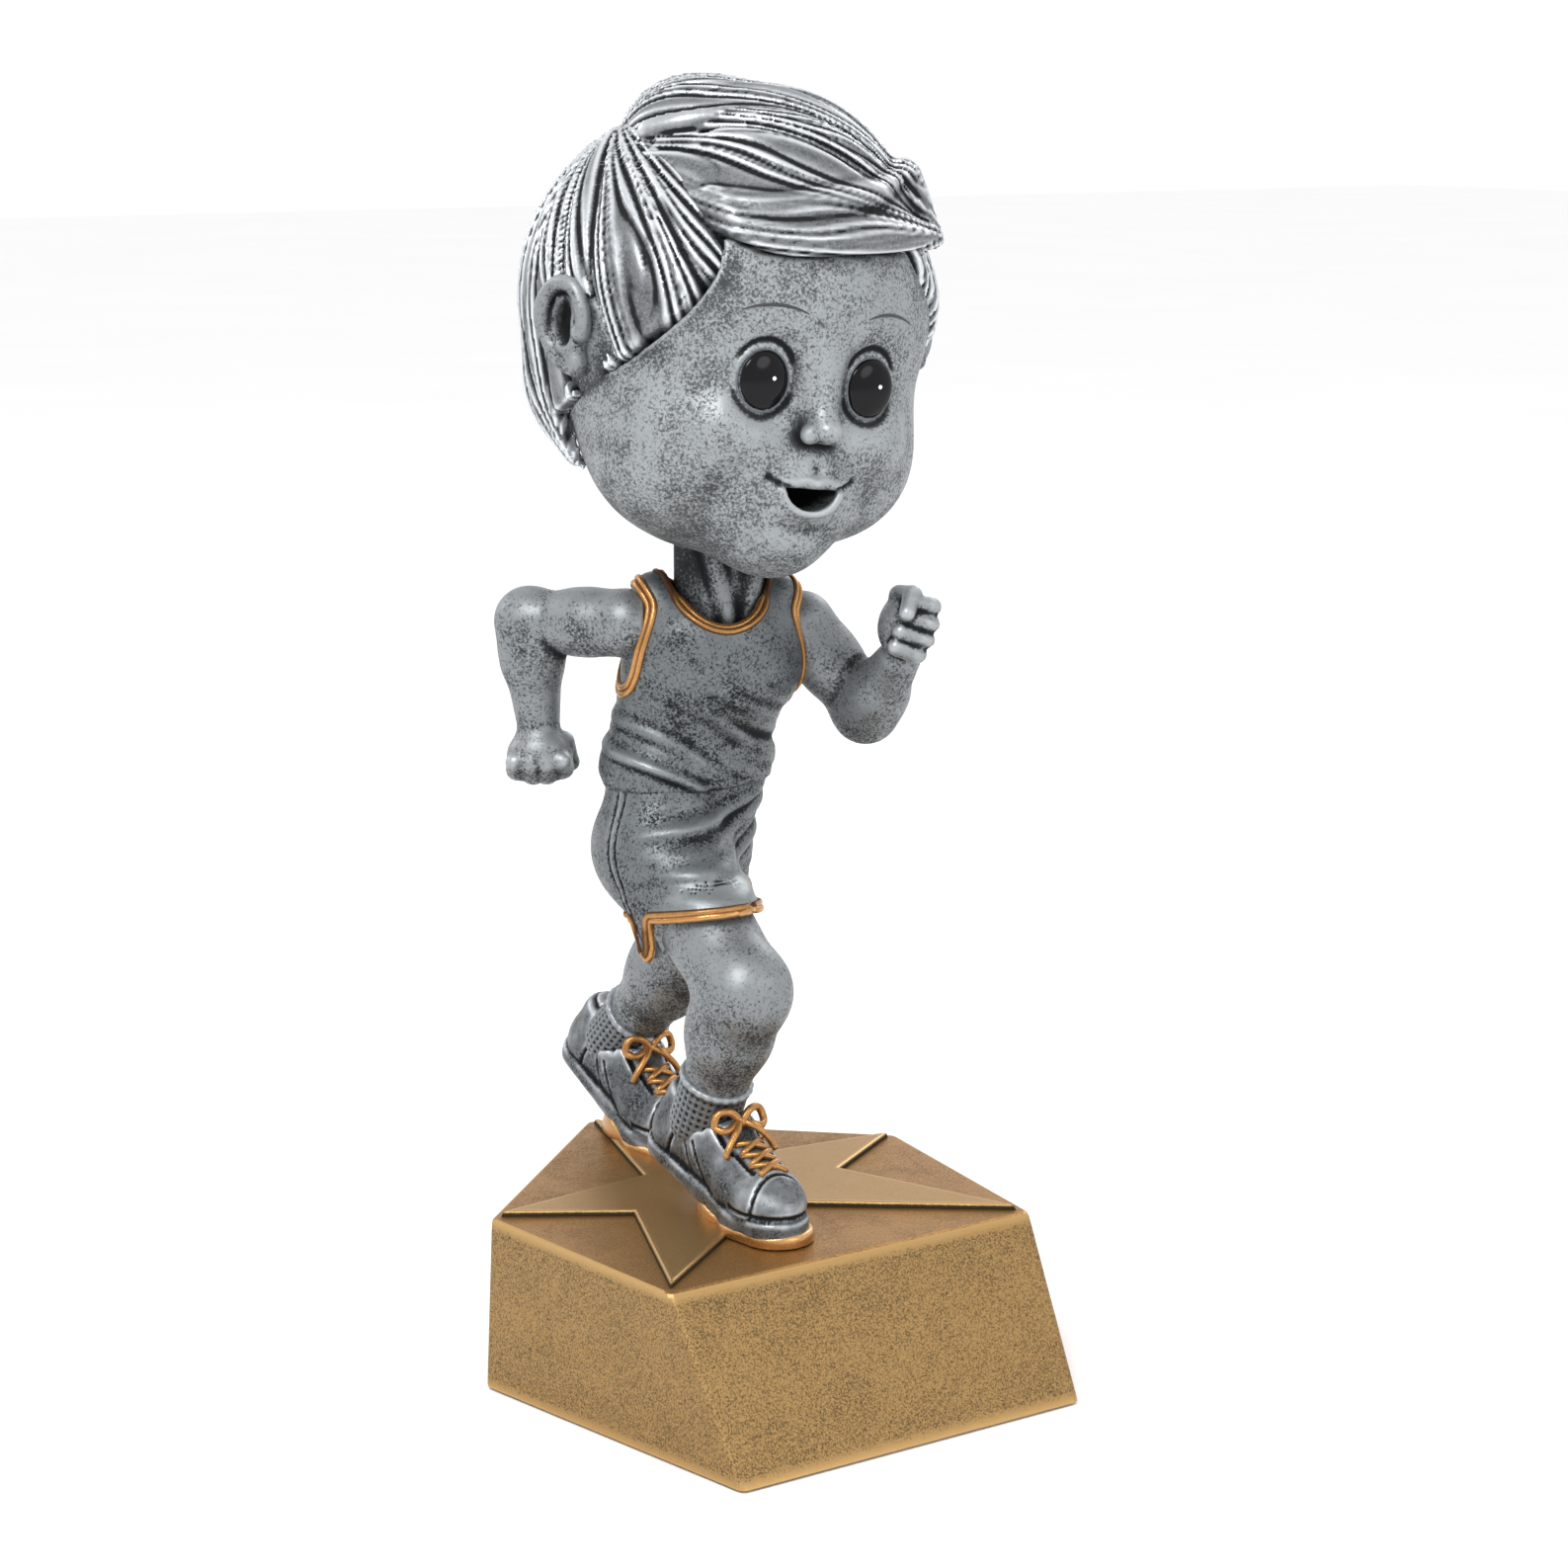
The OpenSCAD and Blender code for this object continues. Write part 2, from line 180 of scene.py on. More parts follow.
class Clay:
    """A block of space in which a solid is modelled as a grid of signed distances."""

    def __init__(self, low, high, step, fine=None, fine_step=None):
        self.axes = []
        for i, (start, end) in enumerate(zip(low, high)):
            line = np.arange(start, end + step, step)
            if fine:
                inner = np.arange(fine[0][i], fine[1][i], fine_step)
                before = line[line < inner[0] - step / 2]
                after = line[line > inner[-1] + step / 2]
                line = np.concatenate([before, inner, after])
            self.axes.append(line.astype(np.float32))
        self.field = np.full([len(a) for a in self.axes], FAR, np.float32)

    def window(self, low, high, margin):
        cut = tuple(
            slice(*np.searchsorted(a, (start - margin, end + margin)))
            for a, start, end in zip(self.axes, low, high)
        )
        x, y, z = [a[c] for a, c in zip(self.axes, cut)]
        return cut, (x[:, None, None], y[None, :, None], z[None, None, :])

    def add(self, shape, melt=0.0):
        cut, at = self.window(shape.low, shape.high, REACH + melt)
        self.field[cut] = soft_min(self.field[cut], shape.distance(*at), melt)
        return self

    def carve(self, shape, melt=0.0):
        cut, at = self.window(shape.low, shape.high, REACH + melt)
        self.field[cut] = -soft_min(-self.field[cut], shape.distance(*at), melt)
        return self

    def keep(self, shape, melt=0.0):
        at = self.window([a[0] for a in self.axes], [a[-1] for a in self.axes], 1)[1]
        self.field = -soft_min(-self.field, -shape.distance(*at), melt)
        return self

    def emboss(self, relief, reach=1.6):
        """Raises the surface by relief(points), in millimetres, or sinks it where that is negative."""
        near = np.nonzero(np.abs(self.field) < reach)
        points = np.stack([a[i] for a, i in zip(self.axes, near)], 1)
        self.field[near] -= relief(points).astype(np.float32)
        return self

    def value(self, points):
        """The field between grid points."""
        spots = [np.interp(points[..., i], a, np.arange(len(a))) for i, a in enumerate(self.axes)]
        at = np.stack(spots, -1)
        cell = np.minimum(at.astype(np.int32), np.array(self.field.shape) - 2)
        f = (at - cell).astype(np.float32)
        total = 0
        for corner in np.ndindex(2, 2, 2):
            share = 1
            for i, c in enumerate(corner):
                share = share * (f[..., i] if c else 1 - f[..., i])
            total = total + share * self.field[tuple(cell[..., i] + c for i, c in enumerate(corner))]
        return total

    def land(self, points, direction, reach):
        """Where rays from points first meet the surface; a ray that misses ends where it passes closest."""
        points = np.asarray(points, float)
        way = np.broadcast_to(np.asarray(direction, float), points.shape)
        way = way / np.linalg.norm(way, axis=-1, keepdims=True)
        t = np.linspace(0, reach, LAND_SAMPLES)
        seen = self.value(points[:, None] + way[:, None] * t[None, :, None])
        missed = ~(seen < 0).any(axis=1)
        first = np.where(missed, np.argmin(seen, axis=1), np.argmax(seen < 0, axis=1))
        before = np.maximum(first - 1, 0)
        rows = np.arange(len(points))
        f0, f1 = seen[rows, before], seen[rows, first]
        part = np.where(missed | (first == 0), 1.0, f0 / np.maximum(f0 - f1, 1e-6))
        return points + way * (t[before] + (t[first] - t[before]) * part)[:, None]

    def normal(self, points, apart=0.3):
        slope = [self.value(points + apart * d) - self.value(points - apart * d) for d in np.eye(3)]
        slope = np.stack(slope, -1)
        return slope / np.maximum(np.linalg.norm(slope, axis=-1, keepdims=True), 1e-9)

    def hollows(self, points, radius):
        """About 1 in a tight crease, 0 on the flat and -1 on a sharp ridge of that size."""
        total = 0
        for d in AROUND:
            total = total + np.clip(self.value(points + radius * d), -radius, radius)
        return -total / len(AROUND) / radius * 2

    def skin(self):
        """Points and four-sided faces of the surface."""
        f, inside = self.field, self.field < 0
        size = [n - 1 for n in f.shape]
        count = np.zeros(size, np.int8)
        for corner in np.ndindex(2, 2, 2):
            count += inside[tuple(slice(c, c + n) for c, n in zip(corner, size))]
        cells = np.argwhere((count > 0) & (count < 8))
        number = np.full(size, -1, np.int32)
        number[tuple(cells.T)] = np.arange(len(cells))
        total, crossings = np.zeros((len(cells), 3)), np.zeros(len(cells))
        for corner in np.ndindex(2, 2, 2):
            for axis in range(3):
                if corner[axis]:
                    continue
                step = np.eye(3, dtype=int)[axis]
                a, b = f[tuple((cells + corner).T)], f[tuple((cells + corner + step).T)]
                cross = (a < 0) != (b < 0)
                t = np.where(cross, a / np.where(cross, a - b, 1), 0)
                total += np.where(cross[:, None], corner + t[:, None] * step, 0)
                crossings += cross
        at = cells + total / crossings[:, None]
        spots = [np.interp(at[:, i], np.arange(len(a)), a) for i, a in enumerate(self.axes)]
        points = np.stack(spots, 1)
        faces = []
        for axis in range(3):
            u, w = np.eye(3, dtype=int)[(axis + 1) % 3], np.eye(3, dtype=int)[(axis + 2) % 3]
            lead, lag = [slice(None)] * 3, [slice(None)] * 3
            lead[axis], lag[axis] = slice(0, -1), slice(1, None)
            edge = np.argwhere(inside[tuple(lead)] != inside[tuple(lag)])
            edge = edge[(edge - u - w >= 0).all(1) & (edge < np.array(size)).all(1)]
            quad = np.stack([number[tuple((edge - s).T)] for s in (0 * u, u, u + w, w)], 1)
            flip = ~inside[tuple(edge.T)]
            quad[flip] = quad[flip][:, ::-1]
            faces.append(quad)
        return points, np.concatenate(faces)


def trace(use, path, radii, melt):
    """Adds or carves a round bar along each stretch of a path, of one radius or of a list of them."""
    stretches = list(zip(path[:-1], path[1:]))
    if not isinstance(radii, list):
        radii = [radii] * len(stretches)
    for (a, b), radius in zip(stretches, radii):
        use(limb(a, b, radius, radius), melt)


def ripple(a, b, seed, a_waves, b_waves):
    """A smooth wandering value of two coordinates, the first of them an angle, between about -1 and 1."""
    draw = np.random.default_rng(seed)
    total = 0
    for _ in range(RIPPLE_TERMS):
        wave = int(draw.integers(1, a_waves + 1))
        drift = draw.uniform(-b_waves, b_waves)
        total = total + draw.uniform(0.5, 1) * np.sin(wave * a + drift * b + draw.uniform(0, 2 * math.pi))
    return total / RIPPLE_TERMS * 1.6


def tufts(phase):
    """Rounded crests with sharp valleys between them: 0 in a valley and 1 on a crest."""
    return np.abs(np.sin(phase / 2)) ** 0.7


def combed(points, start, end, counts, depths, seed, wander=1.0):
    """How deep hair is cut where strands run from start to end, as lines of longitude run between poles."""
    axis = np.array(end, float) - np.array(start, float)
    length = np.linalg.norm(axis)
    axis = axis / length
    side = np.cross(axis, (0.3, -0.9, 0.2))
    side = side / np.linalg.norm(side)
    other = np.cross(axis, side)
    offset = points - np.array(start, float)
    along = offset @ axis / length
    angle = np.arctan2(offset @ other, offset @ side)
    angle = angle + 0.07 * np.sin(7 * angle + 5 * along + seed) + 0.035 * np.sin(17 * angle - 7 * along)
    depth = 0
    for level, (count, cut) in enumerate(zip(counts, depths)):
        bend = ripple(angle, along * 4, seed + level, 5 + 2 * level, 1.9 + level)
        sway = wander * (1.5 + 0.3 * level) * bend
        fading = ripple(angle, along * 3, seed + 40 + level, 11, 2.2)
        weight = 0.5 + 0.5 * np.clip(0.6 + 0.7 * fading, 0, 1)
        depth = depth + cut * (weight if level else 1) * (1 - tufts(count * angle + sway))
    return depth


# ---------------------------------------------------------------- meshes


def add_mesh(name, points, faces, material):
    """A Blender object from points in millimetres."""
    mesh = bpy.data.meshes.new(name)
    if isinstance(faces, np.ndarray):
        mesh.vertices.add(len(points))
        mesh.vertices.foreach_set("co", (points * MM).astype(np.float32).ravel())
        mesh.loops.add(faces.size)
        mesh.loops.foreach_set("vertex_index", faces.astype(np.int32).ravel())
        mesh.polygons.add(len(faces))
        mesh.polygons.foreach_set("loop_start", np.arange(0, faces.size, faces.shape[1], dtype=np.int32))
        mesh.update(calc_edges=True)
        mesh.validate()
    else:
        mesh.from_pydata([tuple(p * MM) for p in np.asarray(points, float)], [], faces)
    mesh.shade_smooth()
    mesh.materials.append(material)
    thing = bpy.data.objects.new(name, mesh)
    bpy.context.scene.collection.objects.link(thing)
    return thing


def store(thing, name, values):
    layer = thing.data.attributes.new(name, "FLOAT", "POINT")
    layer.data.foreach_set("value", np.asarray(values, np.float32))


def casting(name, clay, material, body, slot, nodes=(), place=None, ink=None, wash=1.0, settled=None):
    """Meshes a clay model as one cast piece, storing the dark wash of its creases together with painted
    shade in broad hollows and on faces that turn down, painted light on faces that turn up, and any extra
    painted shade given for the piece.
    """
    points, faces = clay.skin()
    # The tight and middle hollows hold the dark wash of the creases; the broad one is painted shade, darker
    # in large hollows as ambient occlusion would make them.
    tight, mid, broad_shade = (clay.hollows(points, radius) for radius in (0.45, 1.3, 3.2))
    creases = tight * 1.3 + np.maximum(mid, mid * 0.25) * 0.7 + np.maximum(broad_shade, 0) * 0.3
    creases = np.where(creases < 0, creases * 0.7, creases) * wash
    # Painted shade on faces that turn down and painted light on faces that turn up, plus any further
    # painted shade given for the piece.
    underside_shade = np.clip(-0.1 - clay.normal(points)[:, 2], -0.5, 1)
    creases = creases + 0.26 * underside_shade + (0 if settled is None else settled(points))
    painted = np.zeros(len(points)) if ink is None else ink(points)
    thing = add_mesh(name, points if place is None else place(points), faces, material)
    # Stored together: the dark wash of the creases, rubbed ridges, and the painted shade and light.
    store(thing, "hollow", np.clip(creases, -1, 1))
    store(thing, "ink", painted)
    return hand_over(thing, body, slot, nodes)


def cast_stand(name, clay, finish, nodes=(), **more):
    """A silver piece of the standing figure."""
    return casting(name, clay, FINISH[finish], "stand", "silver_resin", nodes, stand_place, **more)


def hand_over(thing, body, slot, nodes=()):
    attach(thing, body)
    if nodes:
        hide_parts(*nodes)
    return thing


def smooth_path(points, steps, closed=False):
    """A smooth curve through points, with a number of steps between each two."""
    p = np.asarray(points, float)
    n = len(p)
    if closed:
        p = np.concatenate([p[-1:], p, p[:2]])
    else:
        p = np.concatenate([2 * p[:1] - p[1:2], p, 2 * p[-1:] - p[-2:-1]])
    out = []
    for i in range(n if closed else n - 1):
        a, b, c, d = p[i : i + 4]
        t = np.arange(steps)[:, None] / steps
        square, cube = 2 * a - 5 * b + 4 * c - d, 3 * b - a - 3 * c + d
        out.append(0.5 * (2 * b + (c - a) * t + square * t**2 + cube * t**3))
    out = np.concatenate(out)
    return out if closed else np.concatenate([out, p[-2:-1]])


def rope(path, radius, sides=10, closed=False):
    """A tube along a path. Its radius may be one number or one for each point."""
    path = np.asarray(path, float)
    n = len(path)
    radius = np.broadcast_to(np.asarray(radius, float), (n,))
    ahead = np.roll(path, -1, 0) - np.roll(path, 1, 0)
    if not closed:
        ahead[0], ahead[-1] = path[1] - path[0], path[-1] - path[-2]
    ahead = ahead / np.linalg.norm(ahead, axis=1, keepdims=True)
    last = np.eye(3)[np.argmin(np.abs(ahead[0]))]
    up = np.zeros_like(path)
    for i in range(n):
        v = last - (last @ ahead[i]) * ahead[i]
        last = up[i] = v / np.linalg.norm(v)
    side = np.cross(ahead, up)
    turn = 2 * math.pi * np.arange(sides) / sides
    ring = up[:, None] * np.sin(turn)[None, :, None] + side[:, None] * np.cos(turn)[None, :, None]
    ring = ring * radius[:, None, None]
    points = (path[:, None] + ring).reshape(-1, 3)
    faces = []
    for i in range(n if closed else n - 1):
        j = (i + 1) % n
        for k in range(sides):
            m = (k + 1) % sides
            faces.append((i * sides + k, i * sides + m, j * sides + m, j * sides + k))
    if not closed:
        faces.append(tuple(range(sides))[::-1])
        faces.append(tuple(range((n - 1) * sides, n * sides)))
    return points, faces


def merge(parts):
    """Joins (points, faces) pairs into one."""
    points, faces, base = [], [], 0
    for p, f in parts:
        points.append(p)
        faces += [tuple(i + base for i in face) for face in f]
        base += len(p)
    return np.concatenate(points), faces


# ---------------------------------------------------------------- finishes


class Level:
    """A shader value that ordinary arithmetic can be written on."""

    def __init__(self, bench, end):
        self.bench = bench
        self.end = end

    def maths(self, operation, *others):
        return self.bench.add("ShaderNodeMath", {"operation": operation}, dict(enumerate((self, *others))))

    def __add__(self, other):
        return self.maths("ADD", other)

    __radd__ = __add__

    def __sub__(self, other):
        return self.maths("SUBTRACT", other)

    def __rsub__(self, other):
        return self.bench.add("ShaderNodeMath", {"operation": "SUBTRACT"}, {0: other, 1: self})

    def __mul__(self, other):
        return self.maths("MULTIPLY", other)

    __rmul__ = __mul__

    def span(self, low, high):
        """0 at low, 1 at high, smooth between."""
        return self.bench.add(
            "ShaderNodeMapRange",
            {"interpolation_type": "SMOOTHSTEP"},
            {"Value": self, "From Min": low, "From Max": high},
        )


class Bench:
    """Adds nodes to one new material."""

    def __init__(self, name):
        self.material = bpy.data.materials.new(name)
        self.material.use_nodes = True
        self.tree = self.material.node_tree
        self.tree.nodes.clear()

    def add(self, kind, settings=None, sockets=None, out=0):
        """One node: its type, its settings, and the values or links of its sockets."""
        node = self.tree.nodes.new(kind)
        for key, value in (settings or {}).items():
            if key == "stops":
                ramp = node.color_ramp
                while len(ramp.elements) < len(value):
                    ramp.elements.new(1)
                for stop, (place, colour) in zip(ramp.elements, value):
                    stop.position = place
                    stop.color = (*colour, 1)
            else:
                setattr(node, key, value)
        for key, value in (sockets or {}).items():
            if isinstance(value, Level):
                self.tree.links.new(value.end, node.inputs[key])
            else:
                node.inputs[key].default_value = value
        return Level(self, node.outputs[out])

    def place(self):
        return self.add("ShaderNodeTexCoord", out=3)

    def noise(self, scale, detail=3.0, rough=0.55, stretch=(1, 1, 1)):
        spot = self.place()
        if stretch != (1, 1, 1):
            spot = self.add("ShaderNodeMapping", None, {"Vector": spot, "Scale": stretch})
        sockets = {"Vector": spot, "Scale": scale, "Detail": detail, "Roughness": rough}
        return self.add("ShaderNodeTexNoise", None, sockets)

    def stored(self, name):
        return self.add("ShaderNodeAttribute", {"attribute_name": name}, out=2)

    def blend(self, share, a, b):
        """Colour a where share is 0 and b where it is 1."""
        sockets = {0: share, 6: a, 7: b}
        return self.add("ShaderNodeMix", {"data_type": "RGBA"}, sockets, out=2)

    def finish(self, **sockets):
        named = {key.replace("_", " "): value for key, value in sockets.items()}
        shader = self.add("ShaderNodeBsdfPrincipled", None, named)
        self.add_output(shader)
        return self.material

    def add_output(self, shader):
        end = self.tree.nodes.new("ShaderNodeOutputMaterial")
        self.tree.links.new(shader.end, end.inputs["Surface"])


def rgb(colour):
    return (*colour[:3], 1.0)


def antique(
    name,
    bright,
    body,
    wash,
    wear_and_light=0.8,
    grime=0.5,
    metal=0.55,
    gloss=0.38,
    blotch=0.3,
    fleck=3300,
    crease=1.0,
    clump=0.2,
):
    """Burnished resin: dark wash left in the creases and specks, bare bright metal on the ridges. The
    stored value also carries painted shade, which darkens towards the wash colour, and painted light, which
    brightens towards the rubbed colour.
    """
    b = Bench(name)
    hollow = b.stored("hollow") * crease
    ink = b.stored("ink")
    grit = b.noise(fleck, 5, 0.78)
    cloud = b.noise(240, 3, 0.6)
    patches = b.noise(1050, 4, 0.7)
    # Crease wash and painted shade from the stored value, plus random clouding.
    shade = hollow + (cloud - 0.5) * blotch + (patches - 0.5) * 0.2
    dark = shade.span(0.03, 0.62)
    # Rubbed bright ridges, together with painted light on faces that turn up.
    lit = (shade * -1.0).span(0.1, 0.85) * wear_and_light
    # Specks also gather where the wash and the painted shade are darker.
    cover = patches * clump * 0.5 + cloud * clump + shade * 0.30 + (0.2 - clump) * 0.75
    specks = (grit * 0.95 + cover).span(0.575, 0.73) * grime
    glints = (grit * -1.0 + cloud * 0.2).span(-0.30, -0.18) * 0.35
    worn_and_lit = b.blend(lit, rgb(body), rgb(bright))
    glinting = b.blend(glints, worn_and_lit, rgb(bright))
    speckled = b.blend(specks, glinting, rgb(wash))
    # Dark wash in the creases, together with the painted shade carried by the stored value.
    washed_and_shaded = b.blend(dark * 0.97, speckled, rgb(wash))
    inked = b.blend(ink, washed_and_shaded, rgb([c * 0.25 for c in wash]))
    rough = gloss + dark * 0.3 + specks * 0.2 - lit * 0.08
    height = grit * -0.7 + patches * 0.8
    bump = b.add("ShaderNodeBump", None, {"Strength": 0.5, "Distance": 0.00007, "Height": height})
    metallic = metal * (1 - dark * 0.8) * (1 - specks * 0.7) * (1 - ink)
    return b.finish(
        Base_Color=inked, Roughness=rough, Metallic=metallic, Normal=bump, Specular_IOR_Level=0.2
    )


def lacquer(name, colour, gloss, shine=0.5):
    b = Bench(name)
    haze = b.noise(900, 2, 0.5)
    base = b.blend(haze.span(0.3, 0.8) * 0.25, rgb(colour), rgb([c * 1.6 + 0.002 for c in colour]))
    return b.finish(Base_Color=base, Roughness=gloss + haze * 0.06, Specular_IOR_Level=shine)


# ---------------------------------------------------------------- the head

HEAD_AT = np.array([0.3, -1.5, 113.0])
HEAD_ROLL = 6.5
HEAD_YAW = -3.0
HOLLOW_AT = np.array([0.3, -1.0, 114.0])
HOLLOW_R = 16.5
NECK_HOLE_R = 8.6
EYE_X = 6.3
EYE_Z = -3.9
MOUTH_Z = -14.6


def head_turn():
    """The head's lean and turn on its spring, as a rotation array."""
    return spin("Z", HEAD_YAW) @ spin("Y", HEAD_ROLL)


def from_face(points):
    """Points of the upright, symmetric head moved to where the head stands."""
    return np.asarray(points) @ head_turn().T + HEAD_AT + HEAD_MOVED


def to_face(point):
    return (np.array(point) - HEAD_AT) @ head_turn()


def sided(*centre):
    """A point and its mirror image."""
    x, y, z = centre
    return ((x, y, z), (-x, y, z))


def mouth_ink(p):
    """Dark inside the open mouth."""
    x, y, z = p[:, 0], p[:, 1], p[:, 2]
    bow = MOUTH_Z + 0.15 - 0.12 * np.cos(x * 2.2)
    oval_gap = (np.sqrt((x / 3.0) ** 2 + ((z - MOUTH_Z - 0.15) / 2.5) ** 2) - 1) * 2.4
    return np.clip(-np.maximum(oval_gap, z - bow) * 5, 0, 1) * (y < -14)


def add_skull(clay, turn=None, grow=0.0):
    """Cranium, forehead, middle of the face, jaw and cheeks, all grown by the same amount."""
    turn = spin("Z", 0) if turn is None else turn
    bones = (
        ((0, 1, 3.5), (19.4, 19.2, 19.4), 0),
        ((0, -4, 3), (20.3, 18.4, 16.6), 3),
        ((0, -4.5, -5.5), (17.6, 16.6, 14.5), 4),
        ((0, -4, -12.5), (14.8, 13.2, 10.8), 4),
        ((9.0, -9.4, -11.6), (8.8, 8.8, 8.8), 4),
        ((-9.0, -9.4, -11.6), (8.8, 8.8, 8.8), 4),
    )
    for centre, radii, melt in bones:
        clay.add(egg(turn @ np.array(centre), np.array(radii) + grow, turn), melt)


def face_clay():
    fine_from, fine_to = (-11.5, FRONT, -19.5), (11.5, -13, 6.5)
    clay = Clay((-23.5, FRONT, -27), (23.5, 22.5, 24), 0.55, (fine_from, fine_to), 0.26)
    add_skull(clay)
    clay.add(ball((0, -14.2, -18.2), 6.3), 5)
    clay.add(egg((0, -15.6, -14), (7.2, 6.4, 5.4)), 3.5)
    for c in sided(7.4, -17.6, -9.6):
        clay.add(egg(c, (4.4, 3.6, 3.6)), 3)
    for c in sided(EYE_X, -22.2, EYE_Z):
        clay.carve(egg(c, (3.9, 2.0, 4.3)), 2.2)
    for side in (-1, 1):
        face_eye_socket(clay, side)
    face_nose(clay)
    face_mouth(clay)
    clay.emboss(under_hair, 2.4)
    clay.carve(ball(to_face(HOLLOW_AT), HOLLOW_R))
    hole_foot = to_face(HOLLOW_AT - (0, 0, 40))
    clay.carve(limb(hole_foot, to_face(HOLLOW_AT), NECK_HOLE_R, NECK_HOLE_R), 0.8)
    return clay


def under_hair(points):
    """The skin is set in under the hair, which is modelled over it."""
    x, y, z = (points @ head_turn().T).T
    covered = np.minimum(side_hair_region().distance(x, y, z), top_hair_region().distance(x, y, z))
    return -1.7 * np.clip(-covered / 0.9, 0, 1)


def hairline_shade(points):
    """Painted shade cast by the hair: darkest at the hairline and fading over the face within a few
    millimetres.
    """
    x, y, z = (points @ head_turn().T).T
    away = np.minimum(side_hair_region().distance(x, y, z), top_hair_region().distance(x, y, z))
    return 0.42 * np.exp(-np.maximum(away, 0) / 1.3)


def on_face(clay, places):
    """Where (x, z) places, seen square from the front, land on the face."""
    return clay.land([(x, FRONT, z) for x, z in places], (0, 1, 0), 14)


def oval_arc(x, z, half_width, half_height, first, last, count):
    """Places on an upright oval, from one angle in degrees to another; the top is at 0."""
    angles = np.linspace(math.radians(first), math.radians(last), count)
    return [(x + half_width * math.sin(a), z + half_height * math.cos(a)) for a in angles]


def face_eye_socket(clay, side):
    """The lid ring round an eye, the fold above it and the crease below."""
    x = side * EYE_X
    clay.add(egg((x, -18.3, EYE_Z), (3.2, 2.4, 3.6)), 1.2)
    lid = on_face(clay, oval_arc(x, EYE_Z, 2.98, 3.3, 0, 360, 25))
    trace(clay.add, lid + (0, 0.1, 0), 0.14, 0.25)
    fold = on_face(clay, oval_arc(x, EYE_Z + 0.1, 3.3, 3.75, -62, 62, 17))
    trace(clay.carve, fold - (0, 0.12, 0), 0.24, 0.3)
    under = on_face(clay, oval_arc(x, EYE_Z - 0.1, 3.35, 3.75, 115, 245, 15))
    trace(clay.carve, under - (0, 0.2, 0), 0.2, 0.5)


def face_nose(clay):
    clay.add(limb((0, -20.0, -1.2), (0, -22.4, -7.2), 1.5, 1.4), 2.2)
    clay.add(egg((0, -23.3, -8.6), (1.55, 1.7, 1.35)), 1.1)
    for c in sided(1.55, -22.4, -9.2):
        clay.add(ball(c, 0.85), 0.8)
    for c in sided(0.8, -23.5, -10.2):
        clay.carve(egg(c, (0.45, 0.8, 0.5)), 0.3)
    clay.carve(limb((0, -22.6, -11.3), (0, -22.4, -12.4), 0.45, 0.5), 0.8)


def face_mouth(clay):
    """Open smile: a bow upper lip, a curved lower lip and dimpled corners."""
    mouth = both(egg((0, -20.5, MOUTH_Z + 0.2), (3.15, 4.2, 2.7)), slab((0, 0, MOUTH_Z), (0, 0, 1)))
    clay.carve(mouth, 0.3)
    lip = on_face(clay, oval_arc(0, MOUTH_Z + 0.3, 3.5, -3.0, -82, 82, 17))
    angles = np.linspace(math.radians(-82), math.radians(82), 17)
    trace(clay.add, lip + (0, 0.1, 0), [0.06 + 0.16 * math.cos(a) for a in angles[:-1]], 0.5)
    for side in (-1, 1):
        bow = ((4.9, 1.0), (2.9, 0.55), (1.1, 0.85), (0, 0.6))
        top = on_face(clay, smooth_path([(side * x, MOUTH_Z + z) for x, z in bow], 4))
        trace(clay.add, top + (0, 0.1, 0), [0.05 + 0.013 * i for i in range(len(top) - 1)], 0.5)
        line = ((2.9, 0.1), (4.0, 0.35), (5.0, 0.9))
        corner = on_face(clay, [(side * x, MOUTH_Z + z) for x, z in line])
        clay.carve(limb(corner[0], corner[1], 0.22, 0.26), 0.3)
        clay.carve(limb(corner[1], corner[2], 0.26, 0.3), 0.5)
    clay.carve(egg((0, -21.4, MOUTH_Z - 4.5), (3.4, 1.0, 0.8)), 1.6)


def make_face():
    clay = face_clay()
    casting(
        "face_casting",
        clay,
        FINISH["face"],
        "head",
        "silver_resin",
        ("head_shell",),
        from_face,
        mouth_ink,
        settled=hairline_shade,
    )
    for side, name in ((-1, "right"), (1, "left")):
        make_eye(clay, side, name)
        make_brow(clay, side, name)
        make_ear(side, name)


def make_eye(clay, side, name):
    spot = on_face(clay, [(side * EYE_X, EYE_Z - 0.2)])[0]
    out = clay.normal(spot[None], 0.8)[0]
    pupil = Clay(spot - 3.6, spot + 3.6, 0.16)
    turn = np.array(Vector((0, -1, 0)).rotation_difference(Vector(out)).to_matrix(), np.float32)
    pupil.add(egg(spot - out * 0.2, (size("pupil_width") / 2, 0.8, size("pupil_width") * 0.55), turn))
    casting(f"{name}_pupil", pupil, FINISH["pupil"], "head", "eye_gloss", (), from_face)
    angle = np.linspace(0, 2 * math.pi, 41)[:-1]
    ring = np.stack([2.8 * np.sin(angle), 0 * angle - 3, 3.14 * np.cos(angle)], 1) @ turn.T + spot
    rim_path = clay.land(ring, -out, 8)
    rim_points, rim_faces = rope(rim_path - out * 0.04, 0.15, 8, True)
    rim = add_mesh(f"{name}_eye_rim", from_face(rim_points), rim_faces, FINISH["rim"])
    hand_over(rim, "head", "silver_resin")
    glint_at = pupil.land([spot + out * 3 + (0.75, 0, 0.3)], -out, 6)[0]
    glint = Clay(glint_at - 0.6, glint_at + 0.6, 0.08)
    glint.add(egg(glint_at, (0.24, 0.12, 0.24), turn))
    casting(f"{name}_eye_glint", glint, FINISH["glint"], "head", "eye_gloss", (), from_face)


